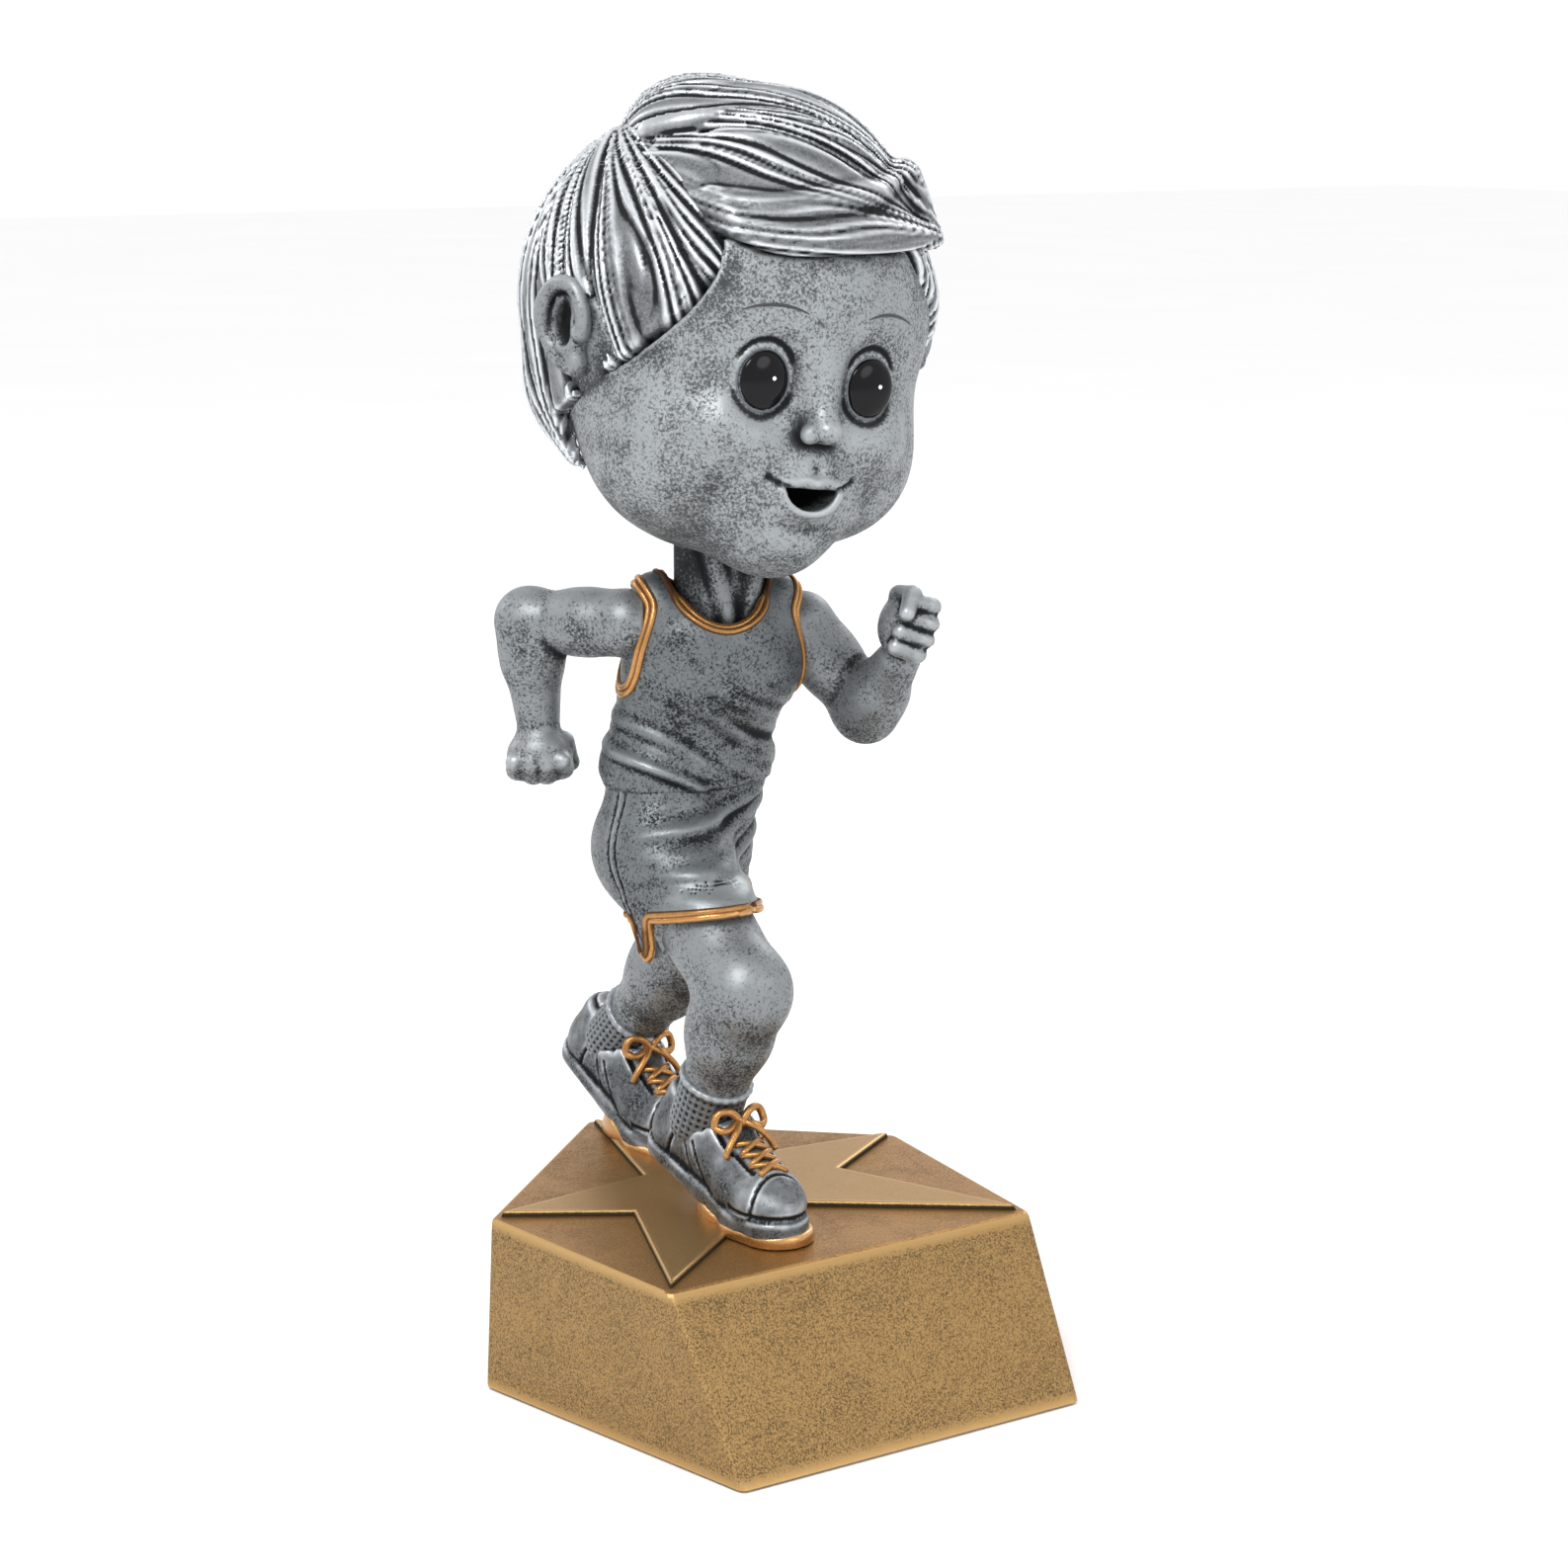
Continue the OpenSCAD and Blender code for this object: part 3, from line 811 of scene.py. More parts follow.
def make_brow(clay, side, name):
    angles = np.linspace(-0.62, 0.62, 18)
    across = [side * (7.0 + 5.8 * math.sin(a)) + 0.9 for a in angles]
    height = [-0.5 + 4.0 * math.cos(a) - 0.12 * math.sin(a) for a in angles]
    path = on_face(clay, zip(across, height))
    taper = 0.05 + 0.14 * np.sin(np.linspace(0.1, math.pi - 0.1, len(path)))
    points, faces = rope(path + (0, 0.02, 0), taper, 6)
    brow = add_mesh(f"{name}_brow_line", from_face(points), faces, FINISH["line"])
    hand_over(brow, "head", "silver_resin")


def make_ear(side, name):
    """A cast ear: rolled rim, deep bowl, flap and lobe."""
    mid = np.array([20.1, -4.4, -0.4])
    clay = Clay(mid - (4, 5.5, 7), mid + (4, 5.5, 7), 0.2)
    clay.add(egg(mid + (-0.4, 0.4, -0.2), (1.9, 3.2, 4.7), spin("X", 8)))
    front = ((0.2, -2.6, -1.2), (0.9, -3.0, 1.2), (1.2, -1.6, 3.9))
    back = ((1.4, 0.9, 4.3), (1.5, 2.9, 2.6), (1.4, 3.3, 0), (0.8, 2.2, -2.5))
    lobe = ((0.0, 0.8, -4.4), (-0.8, -0.9, -5.1))
    trace(clay.add, smooth_path(front + back + lobe, 4) + mid, 0.78, 0.5)
    clay.add(ball(mid + (-0.5, -1.1, -4.3), 1.3), 1.0)
    clay.carve(egg(mid + (2.0, 0.3, 0.3), (1.7, 1.75, 3.0), spin("X", 10)), 0.6)
    clay.add(limb(mid + (0.5, 1.1, 2.4), mid + (0.6, 1.6, -1.4), 0.5, 0.45), 0.6)
    clay.add(ball(mid + (0.7, -2.3, -1.0), 0.85), 0.5)
    clay.carve(egg(mid + (1.5, -0.1, -1.2), (1.5, 1.2, 1.7)), 0.4)
    hinge = mid - (1.0, 2.6, 0)

    def bowl_ink(p):
        inner = np.linalg.norm((p - mid - (1.0, 0.1, 0.3)) / (1.3, 1.5, 2.8), axis=1)
        return np.clip((1.0 - inner) * 3, 0, 0.9)

    def place(points):
        flared = (points - hinge) * 0.9 @ spin("Z", -14).T + hinge
        return from_face(flared * (side, 1, 1))

    ear = casting(f"{name}_ear", clay, FINISH["skin"], "head", "silver_resin", (), place, bowl_ink)
    if side < 0:
        ear.data.flip_normals()


# ---------------------------------------------------------------- the hair

CROWN = np.array([-8.1, 5.5, 20.4])
TUFT_TIP = np.array([17.5, -13.5, 15.0])


def hair_line(z):
    """How far forward the side hair comes at each height: a bow, furthest forward at the temple."""
    return np.minimum(-18 + 0.085 * (z - 7.5) ** 2, 2.5)


def side_hair_region():
    """The side and back hair ends in front at the hair line, below at the nape and round each ear."""

    def distance(x, y, z):
        front = (hair_line(z) - y) * 0.8
        below = -14.2 + 0.16 * (y - 4) - z
        round_ear = 4.3 - np.sqrt((y + 4.6) ** 2 + ((z + 0.2) * 0.84) ** 2)
        return np.maximum(np.maximum(front, below), round_ear * 0.9)

    return Shape(distance, (-30, -30, -30), (30, 30, 30))


def comb_sides(p):
    start, end = CROWN, -CROWN
    return -combed(p, start, end, (29, 104, 142), (size("lock_depth"), 0.6, 0.35), 11, 1.5)


def comb_top(p):
    start, end = CROWN + (-1, 1, -4), TUFT_TIP + (2, -1.5, -5)
    smoother = np.clip((p[:, 2] - 12.5) / 5, 0.4, 1)
    return -smoother * combed(p, start, end, (16, 72, 112), (size("lock_depth") * 0.87, 0.6, 0.35), 29, 1.2)


def inner_skull():
    return egg((0, 0.6, 3.0), (18.4, 18.4, 18.4))


def make_side_hair():
    clay = Clay((-23.5, -22.5, -16), (23.5, 23.5, 24.5), 0.28)
    add_skull(clay, head_turn(), 1.15)
    clay.add(egg((0, 1.0, 3.6), (21.2, 20.9, 20.6)), 0.5)
    clay.add(egg((0, 5, -6), (18.6, 16.4, 11)), 4)
    clay.keep(side_hair_region(), 0.8)
    clay.carve(inner_skull())
    clay.carve(egg((0, 2, -7), (16.6, 16.6, 12)), 1)
    clay.emboss(comb_sides, 1.8)
    casting("side_hair", clay, FINISH["hair"], "head", "silver_resin", (), hair_place, wash=1.8)


def hair_place(points):
    return points + HEAD_AT + HEAD_MOVED


def make_top_hair():
    clay = Clay((-16, -24.5, 5), (24.5, 13.5, 29), 0.25)
    clay.add(egg((2.2, -2.2, 11.5), (17.2, 16.8, 14.6)))
    add_skull(clay, head_turn(), 1.1)
    clay.add(egg((-1.6, 1.6, 20.4), (8.4, 7.6, 6.6)), 2)
    lower = ((-12, -15.5, 13), (-5.5, -19, 10.5), (2, -20, 10.3), (9.5, -18, 10.3), (17, -14, 9.6))
    upper = ((-12, -14, 15), (-5.5, -18.5, 13.3), (1, -19, 13.5), (7.5, -17.2, 14.8), (14.5, -13, 16.8))
    for roll, thin, thick, melt in ((lower, 0.9, 0.8, 2.0), (upper, 0.8, 1.2, 0.8)):
        path = smooth_path(roll, 6)
        shares = [min(1, (i + 4) / 26) for i in range(len(path) - 1)]
        trace(clay.add, path, [thin + thick * math.sin(math.pi * share) for share in shares], melt)
    clay.add(limb((14.6, -12.8, 16.4), (17.4, -14.4, 9.8), 2.3, 0.9), 1.4)
    clay.carve(inner_skull())
    clay.keep(top_hair_region(), 0.7)
    clay.emboss(comb_top, 1.8)
    add_curl(clay)
    casting("top_hair", clay, FINISH["hair"], "head", "silver_resin", (), hair_place, wash=2.0)


def top_hair_region():
    """The top hair ends above the brow and over the parting."""

    def distance(x, y, z):
        brow = 8.6 + 0.054 * np.clip(-4 - x, 0, None) ** 2 - z
        parting = -(x + 13.4) - 0.16 * (y + 3)
        back = (y - 10.6) * 0.9 + (x + 2) * 0.15 - (z - 20) * 0.2
        return np.maximum(np.maximum(brow, parting), back)

    return Shape(distance, (-30, -30, -30), (30, 30, 30))


def add_curl(clay):
    """The long lock that sweeps over the top and curls under at its end."""
    lock = ((-11, -3.5, 21), (-8, -7, 22), (-3, -9, 22.5), (1.5, -11, 21.5), (3, -13, 20), (0, -15, 19))
    path = smooth_path(lock, 7)
    for i, (a, b) in enumerate(zip(path[:-1], path[1:])):
        fat = 1.1 - 0.65 * i / len(path)
        clay.add(limb(a, b, fat, fat - 0.02), 0.4)
    clay.carve(limb((-7.5, -9, 20.4), (0.6, -13.2, 19.6), 0.8, 0.6), 0.6)


# ---------------------------------------------------------------- the trunk and neck

WAIST_Z = 65.5
VEST_HEM_Z = 63.7
WAIST = (np.array([-4.7, 3.0, WAIST_Z]), np.array([1.5, 3.0, WAIST_Z]))
CHEST = (np.array([-4.4, 1.6, 77.5]), np.array([4.2, -1.8, 77.0]))
RIGHT_ARM = ((-9.4, 2.6, 82), (-15.9, 12, 81.6), (-14.8, 12.2, 70))
LEFT_ARM = ((9.2, -3.6, 81), (14.6, -8.2, 71.8), (13.4, -16, 78.6))
RIGHT_SEAM = (np.array([-8.8, 2.2, 82]), np.array([-0.8, 0.6, 0]))
LEFT_SEAM = (np.array([7.6, -3.0, 81.2]), np.array([0.93, -0.36, 0]))
NECK_XY = np.array([0.3, -1.0])
COLLAR_XY = np.array([-0.3, -1.5])
COLLAR_R = 6.3
PIPING_SINK = 0.05
ARMHOLES = (
    ((-8.3, 2.3, 80.6), (-0.95, 0.3, 0), 3.7, 6.0),
    ((8.0, -3.2, 80.2), (0.97, -0.25, 0), 3.6, 6.0),
)


def trunk_folds(p):
    """Shirt folds that fan down from the right flank, and slacker ones above the hem."""
    x, y, z = p[:, 0], p[:, 1], p[:, 2]
    turn = np.arctan2(x + 1.4, -(y - 1.5))
    low = np.clip((76.5 - z) / 7, 0, 1) * np.clip((z - 63.4) / 2, 0, 1)
    sweep = z + 3.4 * turn + 0.7 * np.sin(2.1 * turn + 0.8)
    fold = np.sin(sweep * 2.05 + 0.9 * np.sin(turn * 1.7))
    fold = fold + 0.55 * np.sin(sweep * 3.7 + 1.9 - turn * 1.4)
    side = 0.5 + 0.5 * np.clip(np.cos(turn + 0.5) * 1.3, -1, 1)
    fold = np.sign(fold) * np.abs(fold) ** 0.8
    return size("fold_depth") * low * side * (0.6 + 0.4 * np.sin(turn * 2.3 + z * 0.35)) * fold


def make_torso():
    clay = Clay((-12.5, -11, 62), (12, 13, 90), 0.3)
    chest_mid = (CHEST[0] + CHEST[1]) / 2
    twist = spin("Z", -21)
    clay.add(limb(WAIST[0], WAIST[1], 6.3, 6.3))
    clay.add(egg((WAIST[0] + WAIST[1]) / 2 + (0.5, -0.6, 5), (9.0, 6.3, 7.5), spin("Z", -8)), 3)
    clay.add(egg(chest_mid + (-0.3, -0.9, 1.0), (10.0, 7.3, 8.8), twist), 4)
    clay.add(egg((-1.6, 2.8, 66.2), (9.5, 7.4, 3.6)), 2.4)
    for c in ((-6.3, 1.6, 84.9), (6.3, -3.2, 84.3)):
        clay.add(limb(c, chest_mid + (0.5 * c[0], c[1] * 0.4, 2), 2.6, 4.4), 2.2)
    clay.add(egg((-1.6, 2.9, VEST_HEM_Z + 0.8), (9.4, 7.5, 0.9)), 0.6)
    clay.emboss(trunk_folds, 2)
    clay.keep(slab((0, 0, VEST_HEM_Z), (0.04, -0.03, -1)), 0.5)
    rings = [armhole_ring(clay, *place) for place in ARMHOLES]
    neckline = neckline_ring(clay)
    inner = np.append(COLLAR_XY, 79) - (0, -0.3, 0)
    clay.carve(limb(inner, inner + (0, 0, 16), 5.1, 6.2), 0.3)
    clay.carve(neck_opening(), 0.25)
    cast_stand("torso_vest", clay, "cloth", ("torso",), wash=0.7)
    piping("neckline_piping", clay, neckline, 0.72)
    for name, ring in zip(("right", "left"), rings):
        piping(f"{name}_armhole_piping", clay, ring, 0.72)


def neckline_height(x, y):
    """Height of the vest's edge round the neck: low in front, high on the straps, a little lower behind."""
    away = (x - COLLAR_XY[0], y - COLLAR_XY[1])
    turn = np.arctan2(away[0] * 0.93 - away[1] * 0.36, -away[0] * 0.36 - away[1] * 0.93)
    front = np.clip(np.cos(turn), 0, 1)
    return 87.6 - 5.4 * front**1.4 - 1.0 * np.clip(-np.cos(turn), 0, 1)


def neck_opening():
    """Everything above the neckline and inside the straps."""

    def distance(x, y, z):
        across = np.sqrt((x - COLLAR_XY[0]) ** 2 + (y - COLLAR_XY[1]) ** 2) - COLLAR_R
        return np.maximum(across, neckline_height(x, y) - z)

    return Shape(distance, (-9, -11, 78), (9, 7, 92))


def neckline_ring(clay):
    angle = np.linspace(0, 2 * math.pi, 65)[:-1]
    out = np.stack([np.sin(angle), -np.cos(angle), 0 * angle], 1)
    path = np.append(COLLAR_XY, 0) + out * COLLAR_R
    path[:, 2] = neckline_height(path[:, 0], path[:, 1])
    slope = out + np.array([0, 0, 0.5])
    return clay.land(path + slope * 4, -slope, 9)


def armhole_ring(clay, mid, way, half_width, half_height):
    """The vest's edge round an arm: an upright oval laid on the side of the chest."""
    way = np.array(way, float) / np.linalg.norm(way)
    side = np.cross(way, (0, 0, 1))
    angle = np.linspace(0, 2 * math.pi, 61)[:-1]
    ring = np.outer(np.sin(angle) * half_width, side) + np.outer(np.cos(angle) * half_height, (0, 0, 1))
    return clay.land(np.array(mid) + ring + way * 7, -way, 14)


def stand_place(points):
    return points + STAND_MOVED


def piping(name, clay, path, gap):
    """Two raised lines side by side round a closed path, with a dark groove between them."""
    radius = size("piping_radius")
    normal = clay.normal(path, 0.6)
    ahead = np.roll(path, -1, 0) - np.roll(path, 1, 0)
    across = np.cross(ahead, normal)
    across = across / np.linalg.norm(across, axis=1, keepdims=True)
    parts = []
    for share in (-0.5, 0.5):
        line = path + across * gap * share
        for _ in range(2):
            line = line - clay.normal(line, 0.4) * clay.value(line)[:, None]
        parts.append(rope(line - normal * PIPING_SINK, radius, 10, True))
    points, faces = merge(parts)
    thing = add_mesh(name, stand_place(points), faces, FINISH["trim"])
    store(thing, "hollow", piping_wear(points, path, normal, radius))
    return hand_over(thing, "stand", "gold_trim")


def piping_wear(points, path, normal, radius):
    """Dark low on the line, bright along its crest."""
    near = np.argmin(((points[:, None] - path[None]) ** 2).sum(2), axis=1)
    height = ((points - path[near]) * normal[near]).sum(1)
    return np.clip(0.5 - height / radius, -0.8, 0.9)


def neck_shade(points):
    """Painted shade: a little darker all over the neck, more up under the chin and down inside the vest."""
    z = points[:, 2]
    return 0.16 + 0.3 * np.clip((z - 85) / 4, 0, 1) + 0.5 * np.clip((83.2 - z) / 2, 0, 1)


def make_neck():
    clay = Clay((-7, -9, 75), (8, 7, 94.6), 0.3)
    x, y = NECK_XY
    clay.add(limb((x, y, 78), (x, y, 91), 4.9, 4.9))
    clay.add(egg((x - 0.5, y - 0.4, 79.6), (5.5, 5.4, 2.8)), 1.5)
    for s in (-1, 1):
        clay.add(limb((x + s * 3.4, y - 3.2, 91), (x + s * 0.9 - 0.6, y - 4.4, 82.6), 1.0, 0.7), 0.7)
    clay.carve(limb((x - 0.9, y - 5.9, 82.4), (x + 0.2, y - 5.6, 88), 0.7, 0.5), 1.2)
    clay.keep(slab((0, 0, 92.98), (0, 0, 1)), 0.3)
    clay.keep(slab((0, 0, 77), (0, 0, -1)), 0.3)
    clay.carve(limb((x, y, 87), (x, y, 96), 2.66, 2.66))
    cast_stand("neck_casting", clay, "skin", ("neck",), wash=1.8, settled=neck_shade)


# ---------------------------------------------------------------- arms and fists

FIST_SIZE = 1.15


def arm_clay(arm, seam, low, high):
    shoulder, elbow, wrist = (np.array(p, float) for p in arm)
    clay = Clay(low, high, 0.24)
    clay.add(limb(shoulder, shoulder + (elbow - shoulder) * 0.45, 3.75, 3.45))
    clay.add(limb(shoulder + (elbow - shoulder) * 0.4, elbow, 3.45, 3.2), 1.5)
    clay.add(ball(elbow, 3.25), 1.5)
    clay.add(limb(elbow, elbow + (wrist - elbow) * 0.35, 3.25, 3.35), 1.5)
    clay.add(limb(elbow + (wrist - elbow) * 0.3, wrist, 3.3, 2.35), 1.5)
    clay.keep(slab(seam[0] - seam[1] * 1.5, -seam[1]), 0.3)
    return clay


def add_fist(clay, centre, row, out, palm, reach, split_r, melt):
    """A closed hand: four curled fingers stacked along row, knuckles towards out, thumb over the palm."""
    big = FIST_SIZE
    row, out, palm = (np.array(v, float) / np.linalg.norm(v) for v in (row, out, palm))

    def at(a, b, c):
        return centre + (row * a + out * b + palm * c) * big

    clay.add(egg(at(0, -0.1, -0.1), np.array((3.15, 2.75, 2.45)) * big, np.stack([row, out, palm], 1)), 1.2)
    for i in range(4):
        along = (i - 1.5) * 1.5
        fat = (0.92, 1.0, 0.98, 0.88)[i] * big
        lift = (-0.1, 0.15, 0.1, -0.25)[i]
        knuckle = at(along, reach - 0.9 + lift, -1.75)
        joint = at(along, reach + 0.2 + lift, 0.1)
        tip = at(along * 0.96, reach - 0.6, 1.8)
        clay.add(limb(knuckle, joint, fat, fat * 0.98), melt)
        clay.add(limb(joint, tip, fat * 0.95, fat * 0.85), melt)
        if i:
            line = ((0.4, -2.9), (2.3, -2.1), (reach + 1.35, 0.2), (reach + 0.4, 2.4))
            trace(clay.carve, [at(along - 0.75, b, c) for b, c in line], split_r, 0.25)
    base, bend, tip = at(2.3, -1.4, 0.4), at(2.8, 0.8, 1.4), at(1.1, 1.9, 2.6)
    clay.add(limb(base, bend, 1.0 * big, 0.85 * big), 0.4)
    clay.add(limb(bend, tip, 0.85 * big, 0.75 * big), 0.3)


def make_arms():
    right = arm_clay(RIGHT_ARM, RIGHT_SEAM, (-21.5, -3, 60.5), (-6, 17.5, 87.5))
    centre = np.array([-15.2, 11.3, 66.6])
    add_fist(right, centre, (0.83, -0.55, 0.0), (0.0, 0.0, -1), (0.555, 0.83, 0), 1.25, 0.16, 0.6)
    cast_stand("right_arm_casting", right, "skin", ("right_arm",), wash=1.4)
    left = arm_clay(LEFT_ARM, LEFT_SEAM, (5.5, -26.5, 66.5), (19.5, 2.5, 89))
    centre = np.array([11.9, -19.3, 82.9])
    add_fist(left, centre, (0.35, -0.1, 1), (0.25, -0.95, -0.18), (-0.95, -0.2, 0.3), 1.9, 0.36, 0.2)
    cast_stand("left_arm_casting", left, "skin", ("left_arm",), wash=1.4)


# ---------------------------------------------------------------- shorts and legs

RIGHT_HIP, LEFT_HIP = np.array([-5.6, 1.2, 56.5]), np.array([0.6, 6.0, 56.5])
RIGHT_KNEE, LEFT_KNEE = np.array([-5.5, -14.6, 44.5]), np.array([2.8, 8.6, 43.6])
RIGHT_ANKLE, LEFT_ANKLE = np.array([-5.6, -8.2, 31.2]), np.array([1.4, 20.6, 31.4])
RIGHT_HEM = RIGHT_KNEE + (RIGHT_HIP - RIGHT_KNEE) * 0.42
LEFT_HEM = LEFT_KNEE + (LEFT_HIP - LEFT_KNEE) * 0.5


def shorts_folds(p):
    x, y, z = p[:, 0], p[:, 1], p[:, 2]
    turn = np.arctan2(x + 2.0, -(y - 3.0))
    band = np.clip((z - 52) / 4, 0, 1) * np.clip((65.5 - z) / 3, 0.25, 1)
    sweep = z - 2.6 * turn + 0.8 * np.sin(turn * 2 + 0.5)
    fold = np.sin(sweep * 1.75 + 0.6) * 0.6 + 0.4 * np.sin(sweep * 2.9 + turn)
    front = np.clip(np.cos(turn - 0.35) * 1.6, 0, 1)
    return 0.34 * band * front * fold


def side_stripe(p):
    """Two sewn lines down the outside of the right leg, from waist to slit."""
    x, y, z = p[:, 0], p[:, 1], p[:, 2]
    middle_y = 1.5 - 0.0155 * (66 - z) ** 2
    off = y - middle_y
    mark = np.exp(-(((np.abs(off) - 0.55) / 0.2) ** 2))
    return -0.42 * mark * (x < -5.5) * np.clip(z - 47.5, 0, 1)


def make_shorts():
    clay = Clay((-15, -14, 43), (10.5, 16, 67), 0.3)
    clay.add(limb(WAIST[0], WAIST[1], 5.7, 5.7))
    clay.add(limb(RIGHT_HIP, LEFT_HIP, 6.9, 6.7), 4)
    clay.add(limb(WAIST[0] - (0, 0, 2), RIGHT_HIP, 5.7, 6.6), 2)
    clay.add(limb(WAIST[1] - (0, 0, 2), LEFT_HIP, 5.7, 6.4), 2)
    clay.add(ball((-5.6, 5.4, 56.8), 5.7), 2.5)
    clay.add(ball((0.6, 9.0, 56.4), 5.6), 2.5)
    right_way = (RIGHT_KNEE - RIGHT_HIP) / np.linalg.norm(RIGHT_KNEE - RIGHT_HIP)
    left_way = (LEFT_KNEE - LEFT_HIP) / np.linalg.norm(LEFT_KNEE - LEFT_HIP)
    clay.add(limb(RIGHT_HIP, RIGHT_KNEE, 6.5, 6.1), 2)
    clay.add(limb(LEFT_HIP, LEFT_HEM + left_way * 3, 6.3, 6.7), 1.5)
    clay.add(limb((-8.4, -2.6, 52), (-9.4, -4.2, 46.0), 3.6, 1.9), 1.5)
    clay.emboss(shorts_folds, 2)
    clay.emboss(side_stripe, 1.2)
    clay.keep(right_side_above_hem(), 0.4)
    clay.keep(slab(LEFT_HEM + left_way * 0.4, left_way + (0, 0.1, -0.6)), 0.4)
    clay.keep(slab((0, 0, WAIST_Z + 0.3), (0, 0, 1)), 0.3)
    for hip, hem, way in ((RIGHT_HIP, RIGHT_HEM, right_way), (LEFT_HIP, LEFT_HEM, left_way)):
        clay.carve(limb(hem - way * 1.5, hem + way * 9, 5.75, 6.0), 0.3)
    cast_stand("running_shorts", clay, "cloth", ("shorts",), wash=0.8)
    make_right_hem(clay)
    left_down = (left_way + (0, 0.1, -0.6)) / np.linalg.norm(left_way + (0, 0.1, -0.6))
    make_left_hem(clay, left_down)


def right_hem_height(x, y):
    """The right leg's edge rises a little to the front and drops into a slit tail at the side."""
    tail = np.exp(-(((y + 3.9) / 1.35) ** 4)) * np.clip((-7.5 - x) / 1.5, 0, 1)
    return 51.1 + 0.2 * (-6 - y) - 4.4 * tail


def right_side_above_hem():
    """Above the right leg's hem; the left leg's side isn't cut."""

    def distance(x, y, z):
        return np.minimum(right_hem_height(x, y) - z, np.clip((1.0 - x) * 2, -6, 2) * 2)

    return Shape(distance, (-20, -20, 40), (20, 20, 70))


def make_right_hem(clay):
    angle = np.linspace(0, 2 * math.pi, 121)[:-1]
    out = np.stack([np.sin(angle), -np.cos(angle), 0 * angle], 1)
    centre = np.array([-5.4, -4.6, 0.0])
    path = centre + out * 6
    for _ in range(3):
        path[:, 2] = right_hem_height(path[:, 0], path[:, 1]) + 0.35
        start = path.copy()
        start[:, :2] = centre[:2] + out[:, :2] * np.where(out[:, 0] > 0.2, 8.5, 14)[:, None]
        path = clay.land(start, -out, 11)
    piping("right_hem_piping", clay, path, 0.76)


def make_left_hem(clay, way):
    """Gold piping round the left leg of the shorts, just above its edge."""
    side = np.cross(way, (1, 0, 0))
    side = side / np.linalg.norm(side)
    other = np.cross(way, side)
    angle = np.linspace(0, 2 * math.pi, 61)[:-1]
    mid = LEFT_HEM - way * 0.2
    out = np.outer(np.sin(angle), other) + np.outer(np.cos(angle), side)
    path = clay.land(mid + out * 10.5, -out, 6)
    reach = np.linalg.norm(path - mid, axis=1)
    path = mid + out * np.clip(reach, 6.0, 8.2)[:, None]
    piping("left_hem_piping", clay, smooth_path(path, 2, True), 0.76)


def leg_clay(ankle, knee, hip, hem):
    low = np.minimum(np.minimum(ankle, knee), hem) - (7, 7, 4.5)
    high = np.maximum(np.maximum(ankle, knee), hem) + (7, 7, 6.5)
    clay = Clay(low, high, 0.28)
    shin = (ankle - knee) / np.linalg.norm(ankle - knee)
    clay.add(limb(knee, knee + (ankle - knee) * 0.42, 4.4, 4.4))
    clay.add(limb(knee + (ankle - knee) * 0.4, ankle - shin * 0.5, 4.4, 3.3), 1.5)
    back = np.cross(shin, (1, 0, 0))
    back = back / np.linalg.norm(back) * np.sign(np.cross(shin, (1, 0, 0))[1])
    clay.add(egg(knee + (ankle - knee) * 0.34 + back * 1.0, (4.0, 3.9, 5.4)), 2)
    clay.add(limb(knee, hip, 4.7, 5.5), 1.5)
    clay.add(egg(knee - back * 0.5, (3.8, 3.9, 4.2)), 3)
    clay.keep(slab(hem - (knee - hip) / np.linalg.norm(knee - hip) * 1.5, hip - knee), 0.3)
    clay.keep(slab(ankle, shin), 0.3)
    return clay


def make_legs():
    for name, ankle, knee, hip, hem in (
        ("right", RIGHT_ANKLE, RIGHT_KNEE, RIGHT_HIP, RIGHT_HEM),
        ("left", LEFT_ANKLE, LEFT_KNEE, LEFT_HIP, LEFT_HEM),
    ):
        cast_stand(f"{name}_leg_casting", leg_clay(ankle, knee, hip, hem), "skin", (f"{name}_leg",))
        make_sock(name, ankle, knee)


def make_sock(name, ankle, knee):
    """A rolled ankle sock with a dotted knit."""
    up = (knee - ankle) / np.linalg.norm(knee - ankle)
    top = ankle + up * 2.5
    clay = Clay(ankle - (7, 7, 5.5), ankle + (7, 7, 7), 0.2)
    clay.add(limb(ankle - up * 3.0, top, 3.85, 3.8))
    clay.keep(slab(top, up), 0.6)
    side = np.cross(up, (1, 0, 0))
    side = side / np.linalg.norm(side)
    other = np.cross(up, side)

    def knit(p):
        off = p - ankle
        angle = np.arctan2(off @ other, off @ side)
        height = off @ up
        columns = np.clip(np.cos(angle * 30) - 0.05, 0, 1)
        rows = np.clip(np.cos(height * 2 * math.pi / 0.84) + 0.1, 0, 1)
        return -0.42 * (columns * rows)

    clay.emboss(knit, 1.2)
    angle = np.linspace(0, 2 * math.pi, 25)
    rim = top + np.outer(np.sin(angle) * 3.7, other) + np.outer(np.cos(angle) * 3.7, side)
    trace(clay.add, rim, 0.42, 0.2)
    clay.carve(limb(ankle - up * 8, top + up * 4, 2.9, 2.9))
    cast_stand(f"{name}_sock", clay, "knit", wash=1.3)


# ---------------------------------------------------------------- running shoes

STAR_TOP = 18.85
SHOES = (
    ("right", (-4.8, -15.6, STAR_TOP), 15, RIGHT_ANKLE, RIGHT_KNEE),
    ("left", (1.5, 15, STAR_TOP), 24, LEFT_ANKLE, LEFT_KNEE),
)


def shoe_frames(ball_at, tip):
    """Ways to place a shoe's points: flat for the toe, tipped about the ball of the foot for the rest."""
    tipped = spin("X", tip)

    def toe(*p):
        return ball_at + np.array(p)

    def heel(*p):
        return ball_at + tipped @ np.array(p)

    return toe, heel, tipped


